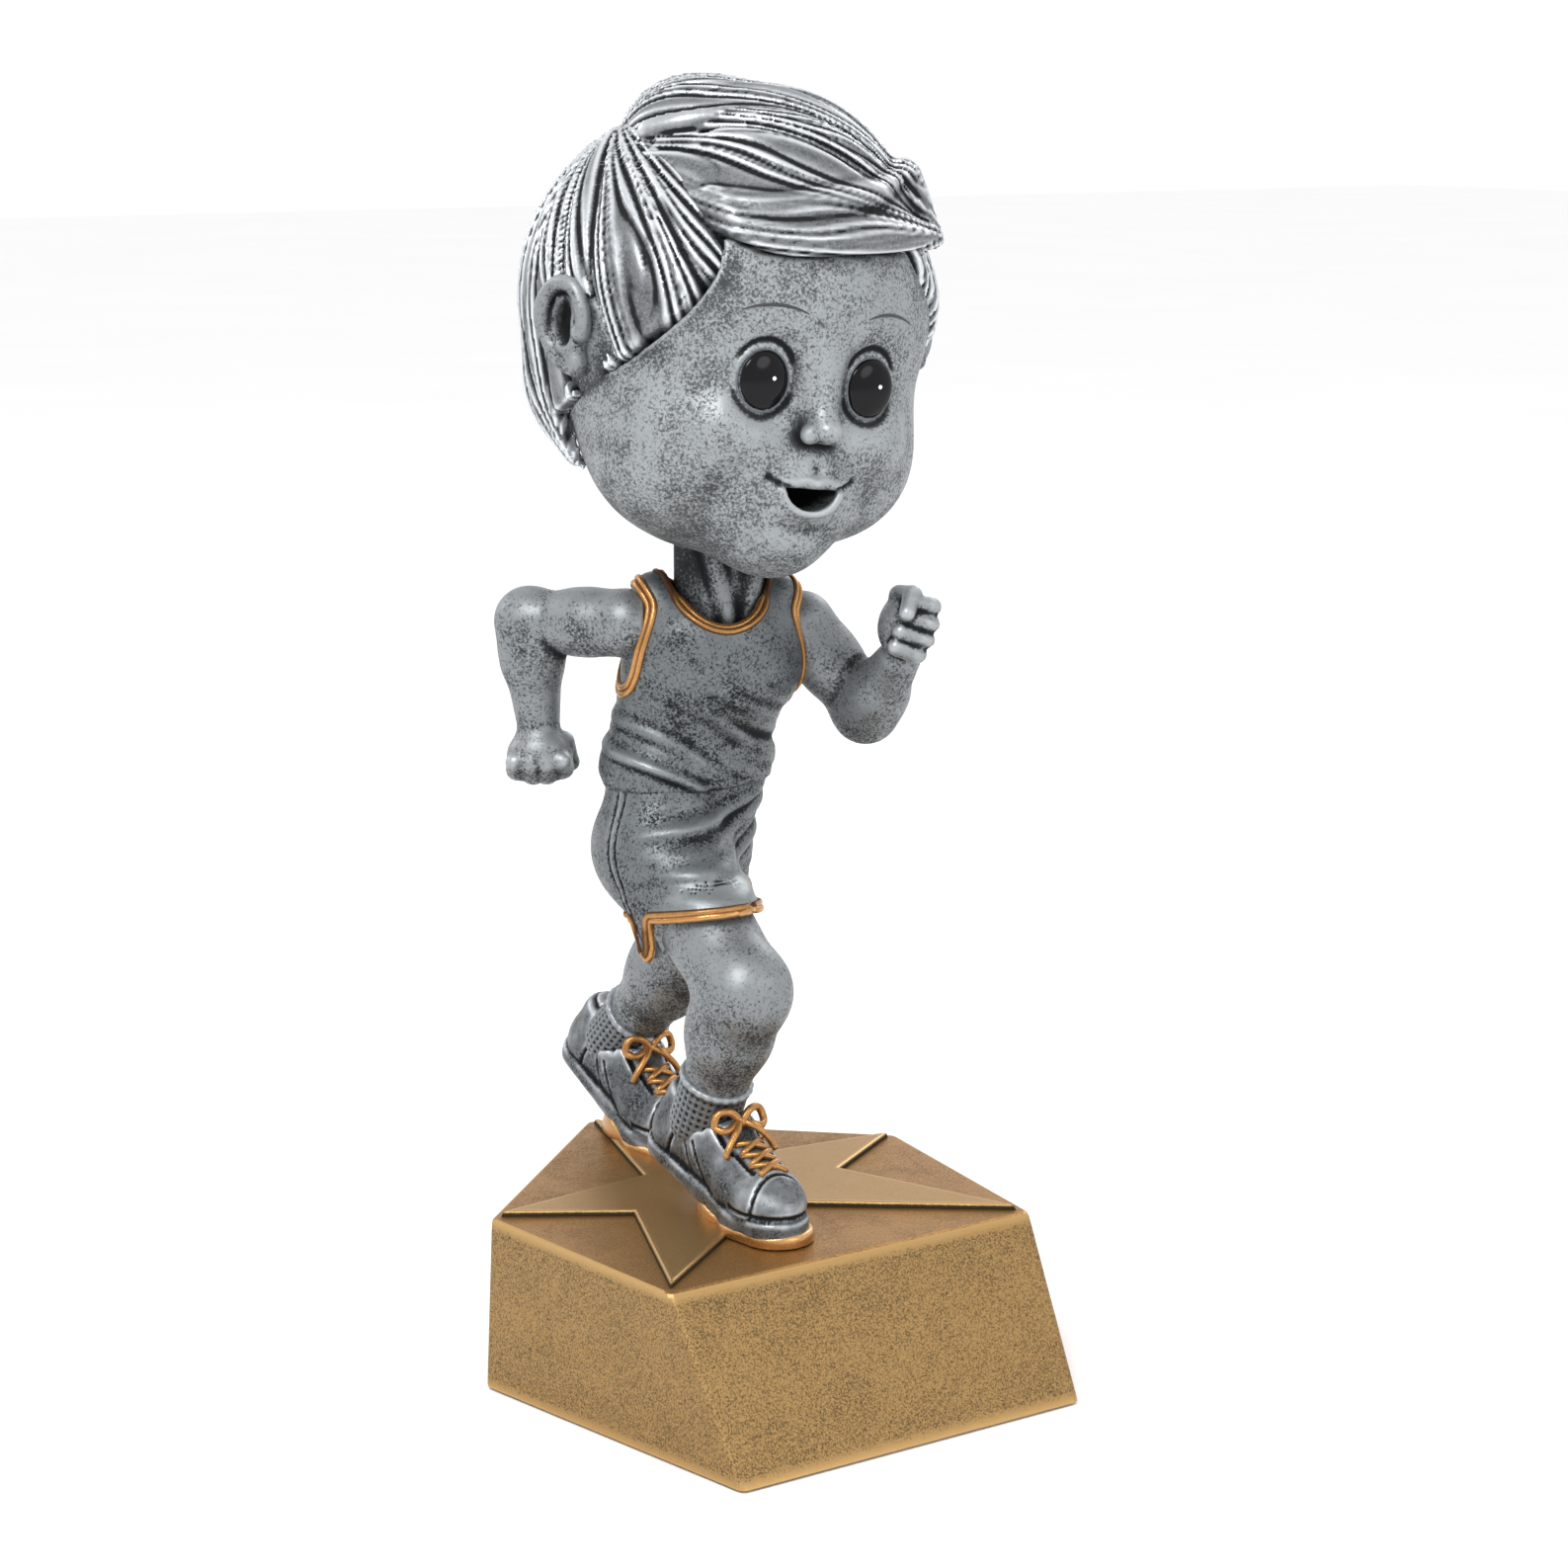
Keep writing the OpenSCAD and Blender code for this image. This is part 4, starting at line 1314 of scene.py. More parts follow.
def make_shoe(name, ball_at, tip, ankle, knee):
    toe, heel, tipped = shoe_frames(ball_at, tip)
    low = np.minimum(toe(-6, -11, -0.4), heel(-6, 0, -1) - 1)
    high = np.maximum(toe(6, 0, 6), heel(6, 22, 13) + 1)
    high[1:] = np.maximum(high[1:], (heel(0, 21, 0)[1], heel(0, 21, 9)[2] + 1))
    clay = Clay(low, high, 0.25)
    inner = 0.35 if name == "left" else -0.35
    # sole
    clay.add(sole_slab(toe(inner, -4.3, 1.3), toe(0, -1.0, 1.3), 3.75, 4.35, np.eye(3)))
    clay.add(sole_slab(heel(0, -0.6, 1.3), heel(0, 6.5, 0.95), 4.3, 3.8, tipped), 0.8)
    clay.add(sole_slab(heel(0, 6.5, 0.95), heel(0, 15.3, 0.95), 3.95, 4.0, tipped), 0.8)
    # upper
    upper = Clay(low, high, 0.25)
    upper.add(egg(toe(inner, -3.7, 3.1), (3.6, 4.2, 2.7)))
    upper.add(limb(toe(0, -1.8, 3.2), heel(0, 2.2, 3.6), 3.8, 3.7), 2)
    upper.add(limb(heel(0, 2.2, 3.8), heel(0, 7.2, 5.6), 3.6, 3.5), 2)
    upper.add(limb(heel(0, 7.5, 3.3), heel(0, 15.0, 3.4), 3.4, 3.75), 2)
    upper.add(limb(heel(0, 8.6, 6.2), heel(0, 12.4, 6.1), 3.5, 3.5), 2)
    upper.add(limb(heel(0, 14.6, 3.4), heel(0, 15.4, 7.2), 3.3, 2.5), 1.6)
    upper.keep(slab(toe(0, 0, 1.1), (0, 0, -1)), 0.2)
    upper.emboss(shoe_panels(ball_at, tipped), 1.4)
    clay.field = np.minimum(clay.field, upper.field)
    collar_way = knee - ankle
    clay.carve(limb(ankle - collar_way * 0.05, ankle + collar_way * 0.8, 3.9, 4.6), 0.4)
    clay.carve(slab(toe(0, 0, 0), (0, 0, 1)))
    cast_stand(f"{name}_running_shoe", clay, "shoe", (f"{name}_shoe",), wash=1.4)
    make_laces(name, clay, heel, tipped)


def sole_slab(a, b, a_r, b_r, turn):
    """A flat bar with round ends and rounded edges: the sole between two points."""
    thick = 0.95
    bar = limb((0, 0, 0), turn.T @ (b - a), a_r - 0.5, b_r - 0.5)
    m = np.array(turn, np.float32)

    def distance(x, y, z):
        dx, dy, dz = x - a[0], y - a[1], z - a[2]
        u = [m[0, i] * dx + m[1, i] * dy + m[2, i] * dz for i in range(3)]
        flat = bar.distance(u[0], u[1], 0 * u[2])
        high = np.abs(u[2]) - (thick - 0.45)
        outside = np.sqrt(np.maximum(flat, 0) ** 2 + np.maximum(high, 0) ** 2)
        return outside + np.minimum(np.maximum(flat, high), 0) - 0.45

    reach = max(a_r, b_r)
    return Shape(distance, np.minimum(a, b) - reach, np.maximum(a, b) + reach)


def shoe_panels(ball_at, tipped):
    """Seams of the toe cap, eyelet stay, side stripe and heel counter, cut as grooves."""

    def groove(d, width=0.2):
        return np.exp(-((d / width) ** 2))

    def relief(p):
        flat = p - ball_at
        x, y, z = np.where(flat[:, 1:2] < 0.6, flat, flat @ tipped).T
        cut = groove(y + 3.4 + 0.12 * x**2 + 0.25 * (z - 4)) * (z > 1.6)
        cut = np.maximum(cut, groove(z - 2.75 - 0.5 * np.exp(-((y - 2) ** 2) / 8)) * (y < -1))
        stay = np.abs(x) - 1.9 - 0.05 * (y + 2)
        cut = np.maximum(cut, groove(stay) * (y > -3.0) * (y < 8.8) * (z > 3.6))
        counter = y - 12.2 + 0.28 * (z - 5)
        cut = np.maximum(cut, groove(counter) * (z > 1.8) * (z < 8.4))
        for start, lean, top in ((5.2, 0.75, 6.2), (8.0, 0.55, 7.0)):
            cut = np.maximum(cut, groove(y - start - lean * (z - 2.2)) * (z < top) * (z > 1.8))
        rim = groove(z - 8.3 - 0.12 * (y - 11), 0.24) * (y > 7.5)
        return -0.36 * np.maximum(cut, rim)

    return relief


def make_laces(name, clay, heel, tipped):
    """Criss-crossed laces and a tied bow over the tongue."""
    thick = size("lace_radius")
    parts = []
    up = tipped @ np.array([0, -0.45, 0.9])
    for y, z in ((-1.6, 5.4), (0.1, 5.8), (1.8, 6.4)):
        for s in (-1, 1):
            start = heel(-1.75 * s, y, z + 1.5)
            end = heel(1.75 * s, y + 1.5, z + 2.2)
            line = np.linspace(start, end, 11)
            line = clay.land(line + up * 1.5, -up, 8)
            hump = 0.22 * np.sin(np.linspace(0, math.pi, 11)) + (0.12 if s > 0 else 0)
            parts.append(rope(line + np.outer(hump, up) + up * 0.08, thick * 0.82, 8))
    knot = clay.land([heel(0, 3.6, 13)], -up, 12)[0] + up * 0.5
    across = np.array([1.0, 0, 0])
    along = np.cross(up, across)
    wrap = np.linspace(knot - across * 0.7, knot + across * 0.7, 5)
    parts.append(rope(wrap, [0.3, 0.62, 0.72, 0.62, 0.3], 10))
    loop_out = ((0.1, 0, 0.1), (1.3, -0.9, 0.8), (2.6, -1.1, 0.4))
    loop_back = ((3.1, -0.1, -0.4), (2.1, 0.8, -0.1), (0.2, 0.1, 0.1))
    end = ((0.1, 0, 0.1), (1.2, 1.2, 0.4), (2.4, 2.4, -0.2), (3.2, 3.4, -1.1))
    for s in (-1, 1):
        for route, share in ((loop_out + loop_back, 1), (end, 0.9)):
            line = [knot + across * s * a - along * b + up * c for a, b, c in route]
            parts.append(rope(smooth_path(line, 6), thick * share, 8))
    points, faces = merge(parts)
    laces = add_mesh(f"{name}_shoe_laces", stand_place(points), faces, FINISH["trim"])
    hand_over(laces, "stand", "gold_trim")


def make_footing(name, ball_at, tip):
    """The cast fillet that carries the tipped sole."""
    toe, heel, tipped = shoe_frames(ball_at, tip)
    clay = Clay(toe(-6, -10.8, -0.6), toe(6, 12.5, 5.5), 0.28)
    ramp = slab(heel(0, 0, 0.25), tipped @ np.array([0, 0, 1.0]))
    clay.add(both(egg(toe(0, 3.2, 0), (3.9, 6.2, 4.6)), ramp))
    clay.keep(slab(toe(0, 0, -0.15), (0, 0, -1)), 0.1)
    clay.add(sole_slab(toe(0, -4.4, -0.1), toe(0, -1.0, -0.1), 3.95, 4.6, np.eye(3)), 0.3)
    node = f"{name}_footing"
    casting(f"{node}_casting", clay, FINISH["trim"], "stand", "gold_resin", (node,), stand_place)


# ---------------------------------------------------------------- spring, plug and pins

SPRING_LINKS = (
    ("spring_lower_coils", "stand", "spring_nod"),
    ("spring_middle_coils", "spring_nod", "spring_tilt"),
    ("spring_upper_coils", "spring_tilt", "spring_twist"),
    ("spring_top_coils", "spring_twist", "head"),
)
WIRE_R = 0.4
COIL_R = 3.2
DEAD_TURNS = 1.5
LIVE_TURNS = 1.75


def helix(centre, low, high, turn_from, turns):
    count = int(turns * 40) + 1
    turn = (turn_from + np.linspace(0, turns, count)) * 2 * math.pi
    rise = np.linspace(low, high, count)
    return np.stack([centre[0] + COIL_R * np.cos(turn), centre[1] + COIL_R * np.sin(turn), rise], 1)


def make_spring():
    low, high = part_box("spring_seat_coil")
    centre = np.array(((low + high) / 2) / MM)
    seat_low = low.z / MM + WIRE_R
    seat_high = high.z / MM - WIRE_R
    points, faces = rope(helix(centre, seat_low, seat_high, 0, DEAD_TURNS), WIRE_R, 12)
    coil = add_mesh("spring_seat_turns", points, faces, FINISH["wire"])
    hand_over(coil, "stand", "spring_steel", ("spring_seat_coil",))
    for i, (node, below, above) in enumerate(SPRING_LINKS):
        low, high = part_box(node)
        start, end = low.z / MM + WIRE_R, high.z / MM - WIRE_R
        path = helix(centre, start, end, DEAD_TURNS + i * LIVE_TURNS, LIVE_TURNS)
        points, faces = rope(path, WIRE_R, 12)
        coil = add_mesh(node.replace("coils", "turns"), points, faces, FINISH["wire"])
        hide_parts(node)
        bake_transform(coil)


def finish_plain_nodes():
    """Gives the pins, rods, plug, post and felt, which keep their own shapes, their finishes."""
    finishes = {"rod": "rod", "dowel": "rod", "plug": "plastic", "post": "plastic", "felt": "felt"}
    for name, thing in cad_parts.items():
        for word, finish in finishes.items():
            if word in name:
                paint_node(thing, FINISH[finish])


def paint_node(thing, finish):
    thing = bpy.data.objects[thing] if isinstance(thing, str) else thing
    if not thing.material_slots:
        thing.data.materials.append(finish)
    for place in thing.material_slots:
        place.material = finish


# ---------------------------------------------------------------- the star base


def rounded(corners, radius, steps=5):
    """An outline with each corner turned into an arc, the same number of points for any radius."""
    corners = np.asarray(corners, float)
    out = []
    for i, c in enumerate(corners):
        a = corners[i - 1] - c
        b = corners[(i + 1) % len(corners)] - c
        a, b = a / np.linalg.norm(a), b / np.linalg.norm(b)
        half = math.acos(float(np.clip(a @ b, -1, 1))) / 2
        back = radius / math.tan(half)
        mid = c + (a + b) / np.linalg.norm(a + b) * radius / math.sin(half)
        start, end = c + a * back - mid, c + b * back - mid
        turn = math.atan2(start[0] * end[1] - start[1] * end[0], start @ end)
        for s in np.linspace(0, 1, steps):
            cs, sn = math.cos(turn * s), math.sin(turn * s)
            out.append(mid + (start[0] * cs - start[1] * sn, start[0] * sn + start[1] * cs))
    return np.array(out)


def inset(corners, gap):
    """Corners of the outline moved inwards by a gap; a negative gap moves them out."""
    corners = np.asarray(corners, float)
    out = []
    for i, c in enumerate(corners):
        a = c - corners[i - 1]
        b = corners[(i + 1) % len(corners)] - c
        na = np.array([-a[1], a[0]]) / np.linalg.norm(a)
        nb = np.array([-b[1], b[0]]) / np.linalg.norm(b)
        out.append(c + (na + nb) * gap / (1 + na @ nb))
    return np.array(out)


def level(outline, z):
    return np.concatenate([outline, np.full((len(outline), 1), z)], 1)


def make_base():
    low, high = (np.array(corner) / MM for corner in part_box("base_block"))
    half, front, back = high[0], low[1], high[1]
    foot_z, star_z = low[2], high[2]
    top_z = star_z - 0.65
    lower = np.array([(-0.737 * half, front), (0.737 * half, front), (half, 0.2), (0, back), (-half, 0.2)])
    top_front = front + 11.2
    upper = np.array([(-23.2, top_front), (23.2, top_front), (26.9, 2.9), (0, back - 1.3), (-26.9, 2.9)])
    notches = [(0, -10), (13.6, -5), (6.2, 5.1), (-6.2, 5.1), (-13.6, -5)]
    star = np.array([p for corner, notch in zip(upper * 0.965, notches) for p in (corner, notch)])

    def side(share, gap, radius):
        return rounded(inset(lower + (upper - lower) * share, gap), radius)

    # Each ring's stored value: dark wash with painted shade round the foot of the star, and bright rubbed
    # edges round the block and the star, which also stand as painted highlights along the bevels.
    rings = [
        (level(side(0, 1.2, 0.8), foot_z), 0.1),
        (level(side(0, 0.25, 0.9), foot_z), -0.2),
        (level(side(0, 0.05, 0.9), foot_z + 0.12), -0.8),
        (level(side(0.02, 0, 0.9), foot_z + 0.4), -0.5),
        (level(side(0.07, 0, 0.9), foot_z + 1.3), 0.05),
        (level(side(0.5, 0, 0.9), (foot_z + top_z) / 2), 0.0),
        (level(side(0.93, 0, 0.9), top_z - 1.2), 0.05),
        (level(side(0.975, 0, 0.9), top_z - 0.45), -0.5),
        (level(side(0.992, 0.1, 0.9), top_z - 0.14), -0.9),
        (level(side(1, 0.35, 0.9), top_z), -0.6),
        (level(side(1, 0.62, 0.7), top_z), 0.1),
    ]
    star_rings = [
        (level(rounded(star, 0.12, 3), top_z), 0.9),
        (level(rounded(inset(star, 0.06), 0.12, 3), top_z + 0.42), 0.3),
        (level(rounded(inset(star, 0.14), 0.12, 3), star_z - 0.08), -0.8),
        (level(rounded(inset(star, 0.3), 0.1, 3), star_z), -0.9),
        (level(rounded(inset(star, 0.75), 0.05, 3), star_z), -0.1),
    ]
    block = bmesh.new()
    worn_and_lit = block.verts.layers.float.new("hollow")
    loops = [add_ring(block, worn_and_lit, points, value) for points, value in rings]
    star_loops = [add_ring(block, worn_and_lit, points, value) for points, value in star_rings]
    for group in (loops, star_loops):
        for a, b in zip(group[:-1], group[1:]):
            for i in range(len(a)):
                j = (i + 1) % len(a)
                block.faces.new((a[i], a[j], b[j], b[i]))
    edges = [block.edges.get((r[i - 1], r[i])) for r in (loops[-1], star_loops[0]) for i in range(len(r))]
    bmesh.ops.triangle_fill(block, use_beauty=True, edges=edges)
    for ring in (loops[0], star_loops[-1]):
        around = [block.edges.get((ring[i - 1], ring[i])) for i in range(len(ring))]
        bmesh.ops.triangle_fill(block, use_beauty=True, edges=around)
    bmesh.ops.recalc_face_normals(block, faces=block.faces)
    for face in block.faces:
        centre = face.calc_center_median() / MM
        on_top = face.normal.z > 0.9 and centre.z > top_z - 0.3
        face.material_index = 0 if not on_top else (2 if centre.z > star_z - 0.1 else 1)
    mesh = bpy.data.meshes.new("star_base_block")
    block.to_mesh(mesh)
    block.free()
    for finish in (FINISH["side"], FINISH["field"], FINISH["star"]):
        mesh.materials.append(finish)
    base = bpy.data.objects.new("star_base_block", mesh)
    bpy.context.scene.collection.objects.link(base)
    hand_over(base, "stand", "gold_resin", ("base_block",))


def add_ring(block, worn_and_lit, points, value):
    ring = [block.verts.new(tuple(p * MM)) for p in points]
    for vert in ring:
        vert[worn_and_lit] = value
    return ring


# ---------------------------------------------------------------- the stage


def make_stage():
    scene = bpy.context.scene
    aim = np.array([6.48, -4.32, 63.72]) * MM
    azimuth, height, away = math.radians(-33.69), math.radians(11.75), 0.3717
    back = Vector(
        (math.sin(azimuth) * math.cos(height), -math.cos(azimuth) * math.cos(height), math.sin(height))
    )
    camera = bpy.data.cameras.new("view")
    camera.lens = 78.07
    camera.sensor_width = 36
    camera.clip_start = 0.01
    eye = bpy.data.objects.new("view", camera)
    eye.location = Vector(aim) + back * away
    eye.rotation_euler = back.to_track_quat("Z", "Y").to_euler()
    scene.collection.objects.link(eye)
    scene.camera = eye

    floor_mesh = bpy.data.meshes.new("floor")
    wide = 3.0
    floor_mesh.from_pydata(
        [(-wide, -wide, 0), (wide, -wide, 0), (wide, wide, 0), (-wide, wide, 0)], [], [(0, 1, 2, 3)]
    )
    floor = bpy.data.objects.new("floor", floor_mesh)
    scene.collection.objects.link(floor)
    b = Bench("floor_paper")
    tone = b.blend(b.noise(8).span(0.2, 0.8), rgb((0.95, 0.95, 0.95)), rgb((0.97, 0.97, 0.97)))
    floor_mesh.materials.append(b.finish(Base_Color=tone, Roughness=0.9))

    world = bpy.data.worlds.new("studio")
    world.use_nodes = True
    world.node_tree.nodes["Background"].inputs["Color"].default_value = (1, 1, 1, 1)
    world.node_tree.nodes["Background"].inputs["Strength"].default_value = 1.0
    scene.world = world
    scene.view_settings.view_transform = "Standard"
    soft_light("key", (-0.42, -0.30, 0.62), 0.26, 3.0)
    soft_light("front", (0.18, -0.62, 0.32), 0.30, 0.5)
    soft_light("rim", (0.55, 0.30, 0.40), 0.24, 0.6)
    soft_light("back", (-0.35, 0.55, 0.40), 0.24, 0.6)


def soft_light(name, place, size, watts):
    lamp = bpy.data.lights.new(name, "AREA")
    lamp.shape = "DISK"
    lamp.size = size
    lamp.energy = watts
    thing = bpy.data.objects.new(name, lamp)
    thing.location = place
    aim = Vector((0, 0, 0.08)) - Vector(place)
    thing.rotation_euler = aim.to_track_quat("-Z", "Y").to_euler()
    bpy.context.scene.collection.objects.link(thing)


# ---------------------------------------------------------------- finishes of this trophy

FINISH = {}


def make_finishes():
    """The paints of the trophy, made once and then shared by its pieces."""
    if FINISH:
        return
    looks = bpy.context.scene.trophy_looks
    # The wash colours serve both the dark wash in the creases and the painted shade.
    wash, gold_wash_and_shade = looks.silver_wash_and_shade, looks.gold_wash_and_shade
    silver, gold = looks.silver_bright, looks.gold_bright
    FINISH["face"] = antique("silver_face", silver, looks.silver_face, wash, 0.6, 0.8, gloss=0.44)
    FINISH["skin"] = antique("silver_skin", silver, looks.silver_skin, wash, 0.6, 0.9, gloss=0.42)
    hair = {"metal": 0.7, "gloss": 0.34, "blotch": 0.1}
    FINISH["hair"] = antique("silver_hair", (0.68, 0.71, 0.74), (0.19, 0.20, 0.21), wash, 1.0, **hair)
    FINISH["cloth"] = antique("silver_cloth", (0.44, 0.47, 0.49), looks.silver_cloth, wash, grime=1.0)
    FINISH["shoe"] = antique("silver_shoe", silver, (0.105, 0.113, 0.12), wash, 0.9, 1.0, blotch=0.9)
    FINISH["knit"] = antique("silver_knit", silver, (0.10, 0.11, 0.12), wash, 0.45, 0.3)
    FINISH["rim"] = antique("silver_rim", silver, (0.16, 0.175, 0.19), wash, grime=0.3)
    side = {"metal": 0.8, "gloss": 0.42, "blotch": 0.1, "fleck": 4600, "clump": 0.05}
    FINISH["side"] = antique("gold_side", gold, looks.gold_side, gold_wash_and_shade, 0.8, 0.8, **side)
    field = {"metal": 0.85, "gloss": 0.36, "crease": 0.1}
    FINISH["field"] = antique("gold_field", gold, looks.gold_field, gold_wash_and_shade, **field)
    star = {"grime": 0.14, "metal": 0.85, "gloss": 0.33}
    FINISH["star"] = antique("gold_star", gold, looks.gold_star, gold_wash_and_shade, **star)
    trim = {"grime": 0.25, "metal": 0.8, "gloss": 0.26}
    # The trim's wash colour, given here, also colours its painted shade.
    FINISH["trim"] = antique("gold_trim", (0.85, 0.55, 0.27), looks.gold_trim, (0.06, 0.024, 0.008), **trim)
    FINISH["wire"] = steel("spring_wire", 0.22)
    FINISH["rod"] = steel("pin_steel", 0.4)
    FINISH["pupil"] = lacquer("eye_black", (0.002, 0.002, 0.003), 0.08, 0.22)
    FINISH["glint"] = lacquer("eye_white", (0.85, 0.85, 0.85), 0.3)
    FINISH["line"] = lacquer("painted_line", (0.03, 0.032, 0.035), 0.5)
    FINISH["plastic"] = moulded("plug_nylon", (0.74, 0.71, 0.63))
    FINISH["felt"] = felt("black_felt", (0.012, 0.013, 0.015))


def steel(name, gloss):
    b = Bench(name)
    draw = b.noise(1400, 3, 0.6, (1, 1, 0.12))
    tone = b.blend(draw.span(0.3, 0.7), rgb((0.5, 0.51, 0.52)), rgb((0.68, 0.69, 0.7)))
    return b.finish(Base_Color=tone, Roughness=gloss + draw * 0.12, Metallic=1.0)


def moulded(name, colour):
    b = Bench(name)
    cloud = b.noise(600, 3, 0.6)
    tone = b.blend(cloud.span(0.3, 0.7), rgb(colour), rgb([c * 0.88 for c in colour]))
    bump = b.add("ShaderNodeBump", None, {"Strength": 0.2, "Distance": 0.00003, "Height": cloud})
    return b.finish(Base_Color=tone, Roughness=0.5 + cloud * 0.1, Normal=bump)


def felt(name, colour):
    b = Bench(name)
    fibre = b.noise(5200, 4, 0.8)
    tone = b.blend(fibre.span(0.35, 0.7), rgb(colour), rgb([c * 3 for c in colour]))
    bump = b.add("ShaderNodeBump", None, {"Strength": 0.9, "Distance": 0.0002, "Height": fibre})
    return b.finish(Base_Color=tone, Roughness=0.97, Normal=bump)


# ---------------------------------------------------------------- settings


def colour(name, about, default):
    """A colour setting, held as linear red, green and blue."""
    return bpy.props.FloatVectorProperty(
        name=name, description=about, default=default, subtype="COLOR", size=3, min=0, max=1
    )


def length(name, about, default, high):
    """A length setting in metres."""
    return bpy.props.FloatProperty(
        name=name, description=about, default=default, min=0, max=high, unit="LENGTH", precision=5
    )


class TrophySizes(bpy.types.PropertyGroup):
    """Sizes of the modelling on the casting"""

    piping_radius: length("Piping radius", "Half the thickness of each gold line on the kit", 0.0004, 0.001)
    lace_radius: length("Lace radius", "Half the thickness of the laces", 0.00044, 0.001)
    fold_depth: length("Fold depth", "How deep the folds of the vest are", 0.0003, 0.001)
    lock_depth: length("Lock depth", "How deep the gaps between locks of hair are", 0.00075, 0.0012)
    pupil_width: length("Pupil width", "Width of each glossy pupil", 0.00544, 0.006)


class TrophyLooks(bpy.types.PropertyGroup):
    """Colours of the antique silver and gold paint"""

    silver_bright: colour("Rubbed silver", "Silver where ridges are rubbed bright", (0.58, 0.61, 0.64))
    silver_face: colour("Face silver", "Silver of the face", (0.31, 0.33, 0.34))
    silver_skin: colour("Skin silver", "Silver of the arms, neck and legs", (0.235, 0.25, 0.26))
    silver_cloth: colour("Cloth silver", "Silver of the vest and shorts", (0.15, 0.163, 0.17))
    # The wash colours also colour the painted shade.
    silver_wash_and_shade: colour("Silver wash", "Dark wash in the creases of the silver", (0.006, 0.007, 0.008))
    gold_bright: colour("Rubbed gold", "Gold where edges are rubbed bright", (0.56, 0.35, 0.14))
    gold_side: colour("Side gold", "Gold of the sides of the base", (0.38, 0.235, 0.094))
    gold_field: colour("Field gold", "Gold round the star", (0.40, 0.21, 0.065))
    gold_star: colour("Star gold", "Gold of the raised star", (0.42, 0.245, 0.085))
    gold_trim: colour("Trim gold", "Gold of the piping and laces", (0.45, 0.225, 0.078))
    gold_wash_and_shade: colour("Gold wash", "Dark wash in the creases of the gold", (0.028, 0.02, 0.009))


# ---------------------------------------------------------------- operators


class TROPHY_OT_stage(bpy.types.Operator):
    """Sets up the camera, the white floor and the lights"""

    bl_idname = "trophy.stage"
    bl_label = "Stage"

    def execute(self, context):
        make_stage()
        return {"FINISHED"}


class TROPHY_OT_base(bpy.types.Operator):
    """Builds the five-sided base block with its raised star"""

    bl_idname = "trophy.base"
    bl_label = "Star base"

    def execute(self, context):
        make_finishes()
        make_base()
        return {"FINISHED"}


class TROPHY_OT_hardware(bpy.types.Operator):
    """Winds the neck spring and finishes the pins, plug and felt"""

    bl_idname = "trophy.hardware"
    bl_label = "Spring and hardware"

    def execute(self, context):
        make_finishes()
        make_spring()
        finish_plain_nodes()
        return {"FINISHED"}


class TROPHY_OT_trunk(bpy.types.Operator):
    """Sculpts the vest, its piping and the neck"""

    bl_idname = "trophy.trunk"
    bl_label = "Vest and neck"

    def execute(self, context):
        make_finishes()
        make_torso()
        make_neck()
        return {"FINISHED"}


class TROPHY_OT_arms(bpy.types.Operator):
    """Sculpts both arms with their fists"""

    bl_idname = "trophy.arms"
    bl_label = "Arms"

    def execute(self, context):
        make_finishes()
        make_arms()
        return {"FINISHED"}


class TROPHY_OT_legs(bpy.types.Operator):
    """Sculpts the shorts, their hems, the legs and the socks"""

    bl_idname = "trophy.legs"
    bl_label = "Shorts and legs"

    def execute(self, context):
        make_finishes()
        make_shorts()
        make_legs()
        return {"FINISHED"}


class TROPHY_OT_shoes(bpy.types.Operator):
    """Sculpts the running shoes, their laces and the gold footings"""

    bl_idname = "trophy.shoes"
    bl_label = "Shoes"

    def execute(self, context):
        make_finishes()
        for name, ball_at, tip, ankle, knee in SHOES:
            make_shoe(name, np.array(ball_at), tip, ankle, knee)
            make_footing(name, np.array(ball_at), tip)
        return {"FINISHED"}


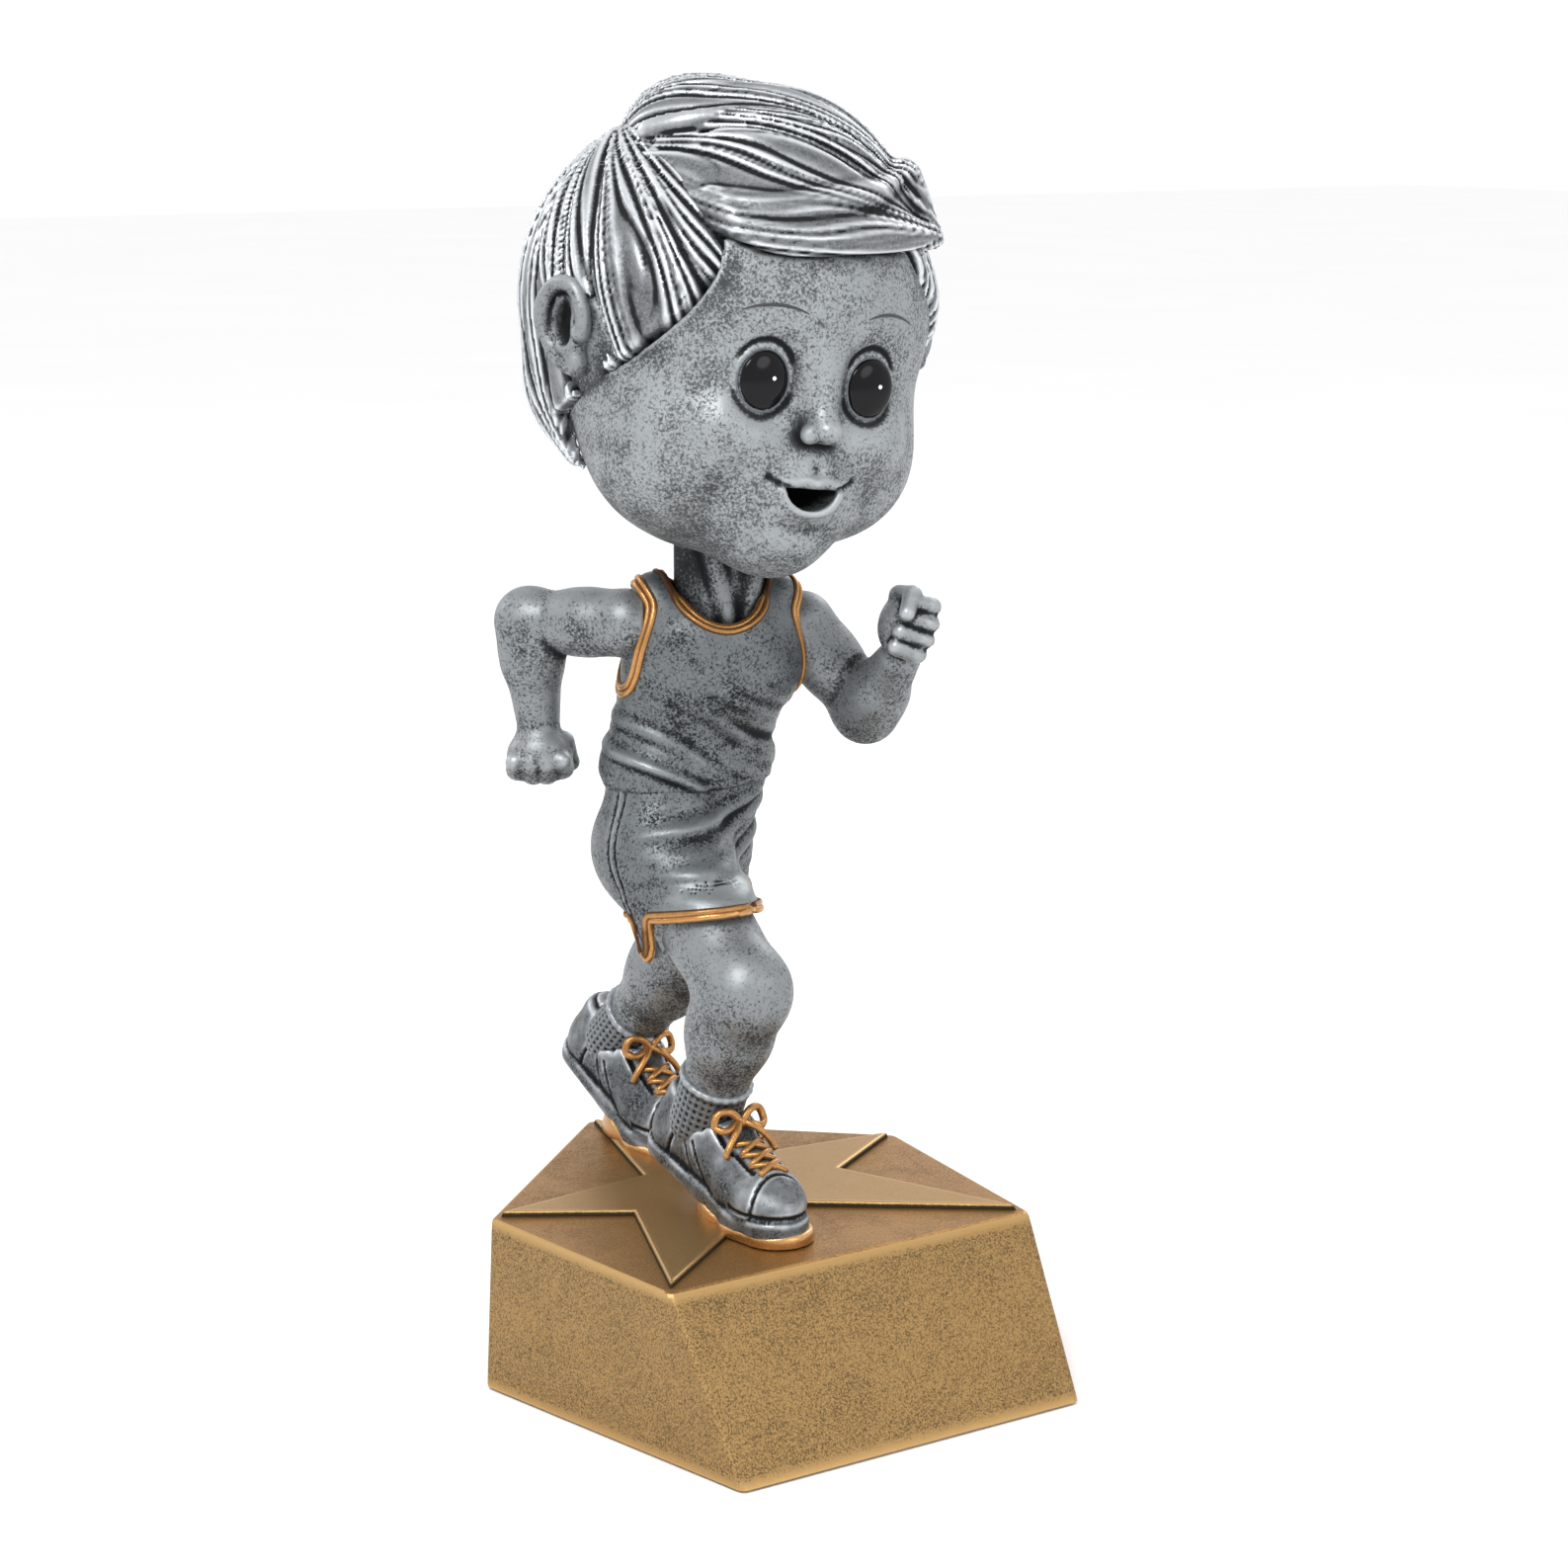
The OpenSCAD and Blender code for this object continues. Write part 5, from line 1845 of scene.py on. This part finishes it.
class TROPHY_OT_face(bpy.types.Operator):
    """Sculpts the face, the eyes, the brows and the ears"""

    bl_idname = "trophy.face"
    bl_label = "Face"

    def execute(self, context):
        make_finishes()
        make_face()
        return {"FINISHED"}


class TROPHY_OT_hair(bpy.types.Operator):
    """Sculpts the combed side hair and the swept top hair"""

    bl_idname = "trophy.hair"
    bl_label = "Hair"

    def execute(self, context):
        make_finishes()
        make_side_hair()
        make_top_hair()
        return {"FINISHED"}


OPERATORS = (
    TROPHY_OT_stage,
    TROPHY_OT_base,
    TROPHY_OT_hardware,
    TROPHY_OT_trunk,
    TROPHY_OT_arms,
    TROPHY_OT_legs,
    TROPHY_OT_shoes,
    TROPHY_OT_face,
    TROPHY_OT_hair,
)


class TROPHY_PT_pieces(bpy.types.Panel):
    """Lists the settings and the pieces"""

    bl_idname = "TROPHY_PT_pieces"
    bl_label = "Running-figure trophy"
    bl_space_type = "VIEW_3D"
    bl_region_type = "UI"
    bl_category = "Trophy"

    def draw(self, context):
        for group in (context.scene.trophy_sizes, context.scene.trophy_looks):
            for key in type(group).__annotations__:
                self.layout.prop(group, key)
        for operator in OPERATORS:
            self.layout.operator(operator.bl_idname)


CLASSES = (TrophySizes, TrophyLooks, *OPERATORS, TROPHY_PT_pieces)


def register():
    for kind in CLASSES:
        bpy.utils.register_class(kind)
    bpy.types.Scene.trophy_sizes = bpy.props.PointerProperty(type=TrophySizes)
    bpy.types.Scene.trophy_looks = bpy.props.PointerProperty(type=TrophyLooks)


def unregister():
    del bpy.types.Scene.trophy_sizes
    del bpy.types.Scene.trophy_looks
    for kind in reversed(CLASSES):
        bpy.utils.unregister_class(kind)


def size(key):
    """A length setting in millimetres."""
    return getattr(bpy.context.scene.trophy_sizes, key) / MM


def main():
    register()
    bpy.ops.trophy.stage()
    bpy.ops.trophy.base()
    bpy.ops.trophy.hardware()
    bpy.ops.trophy.trunk()
    bpy.ops.trophy.arms()
    bpy.ops.trophy.legs()
    bpy.ops.trophy.shoes()
    bpy.ops.trophy.face()
    bpy.ops.trophy.hair()


if __name__ == "__main__":
    main()
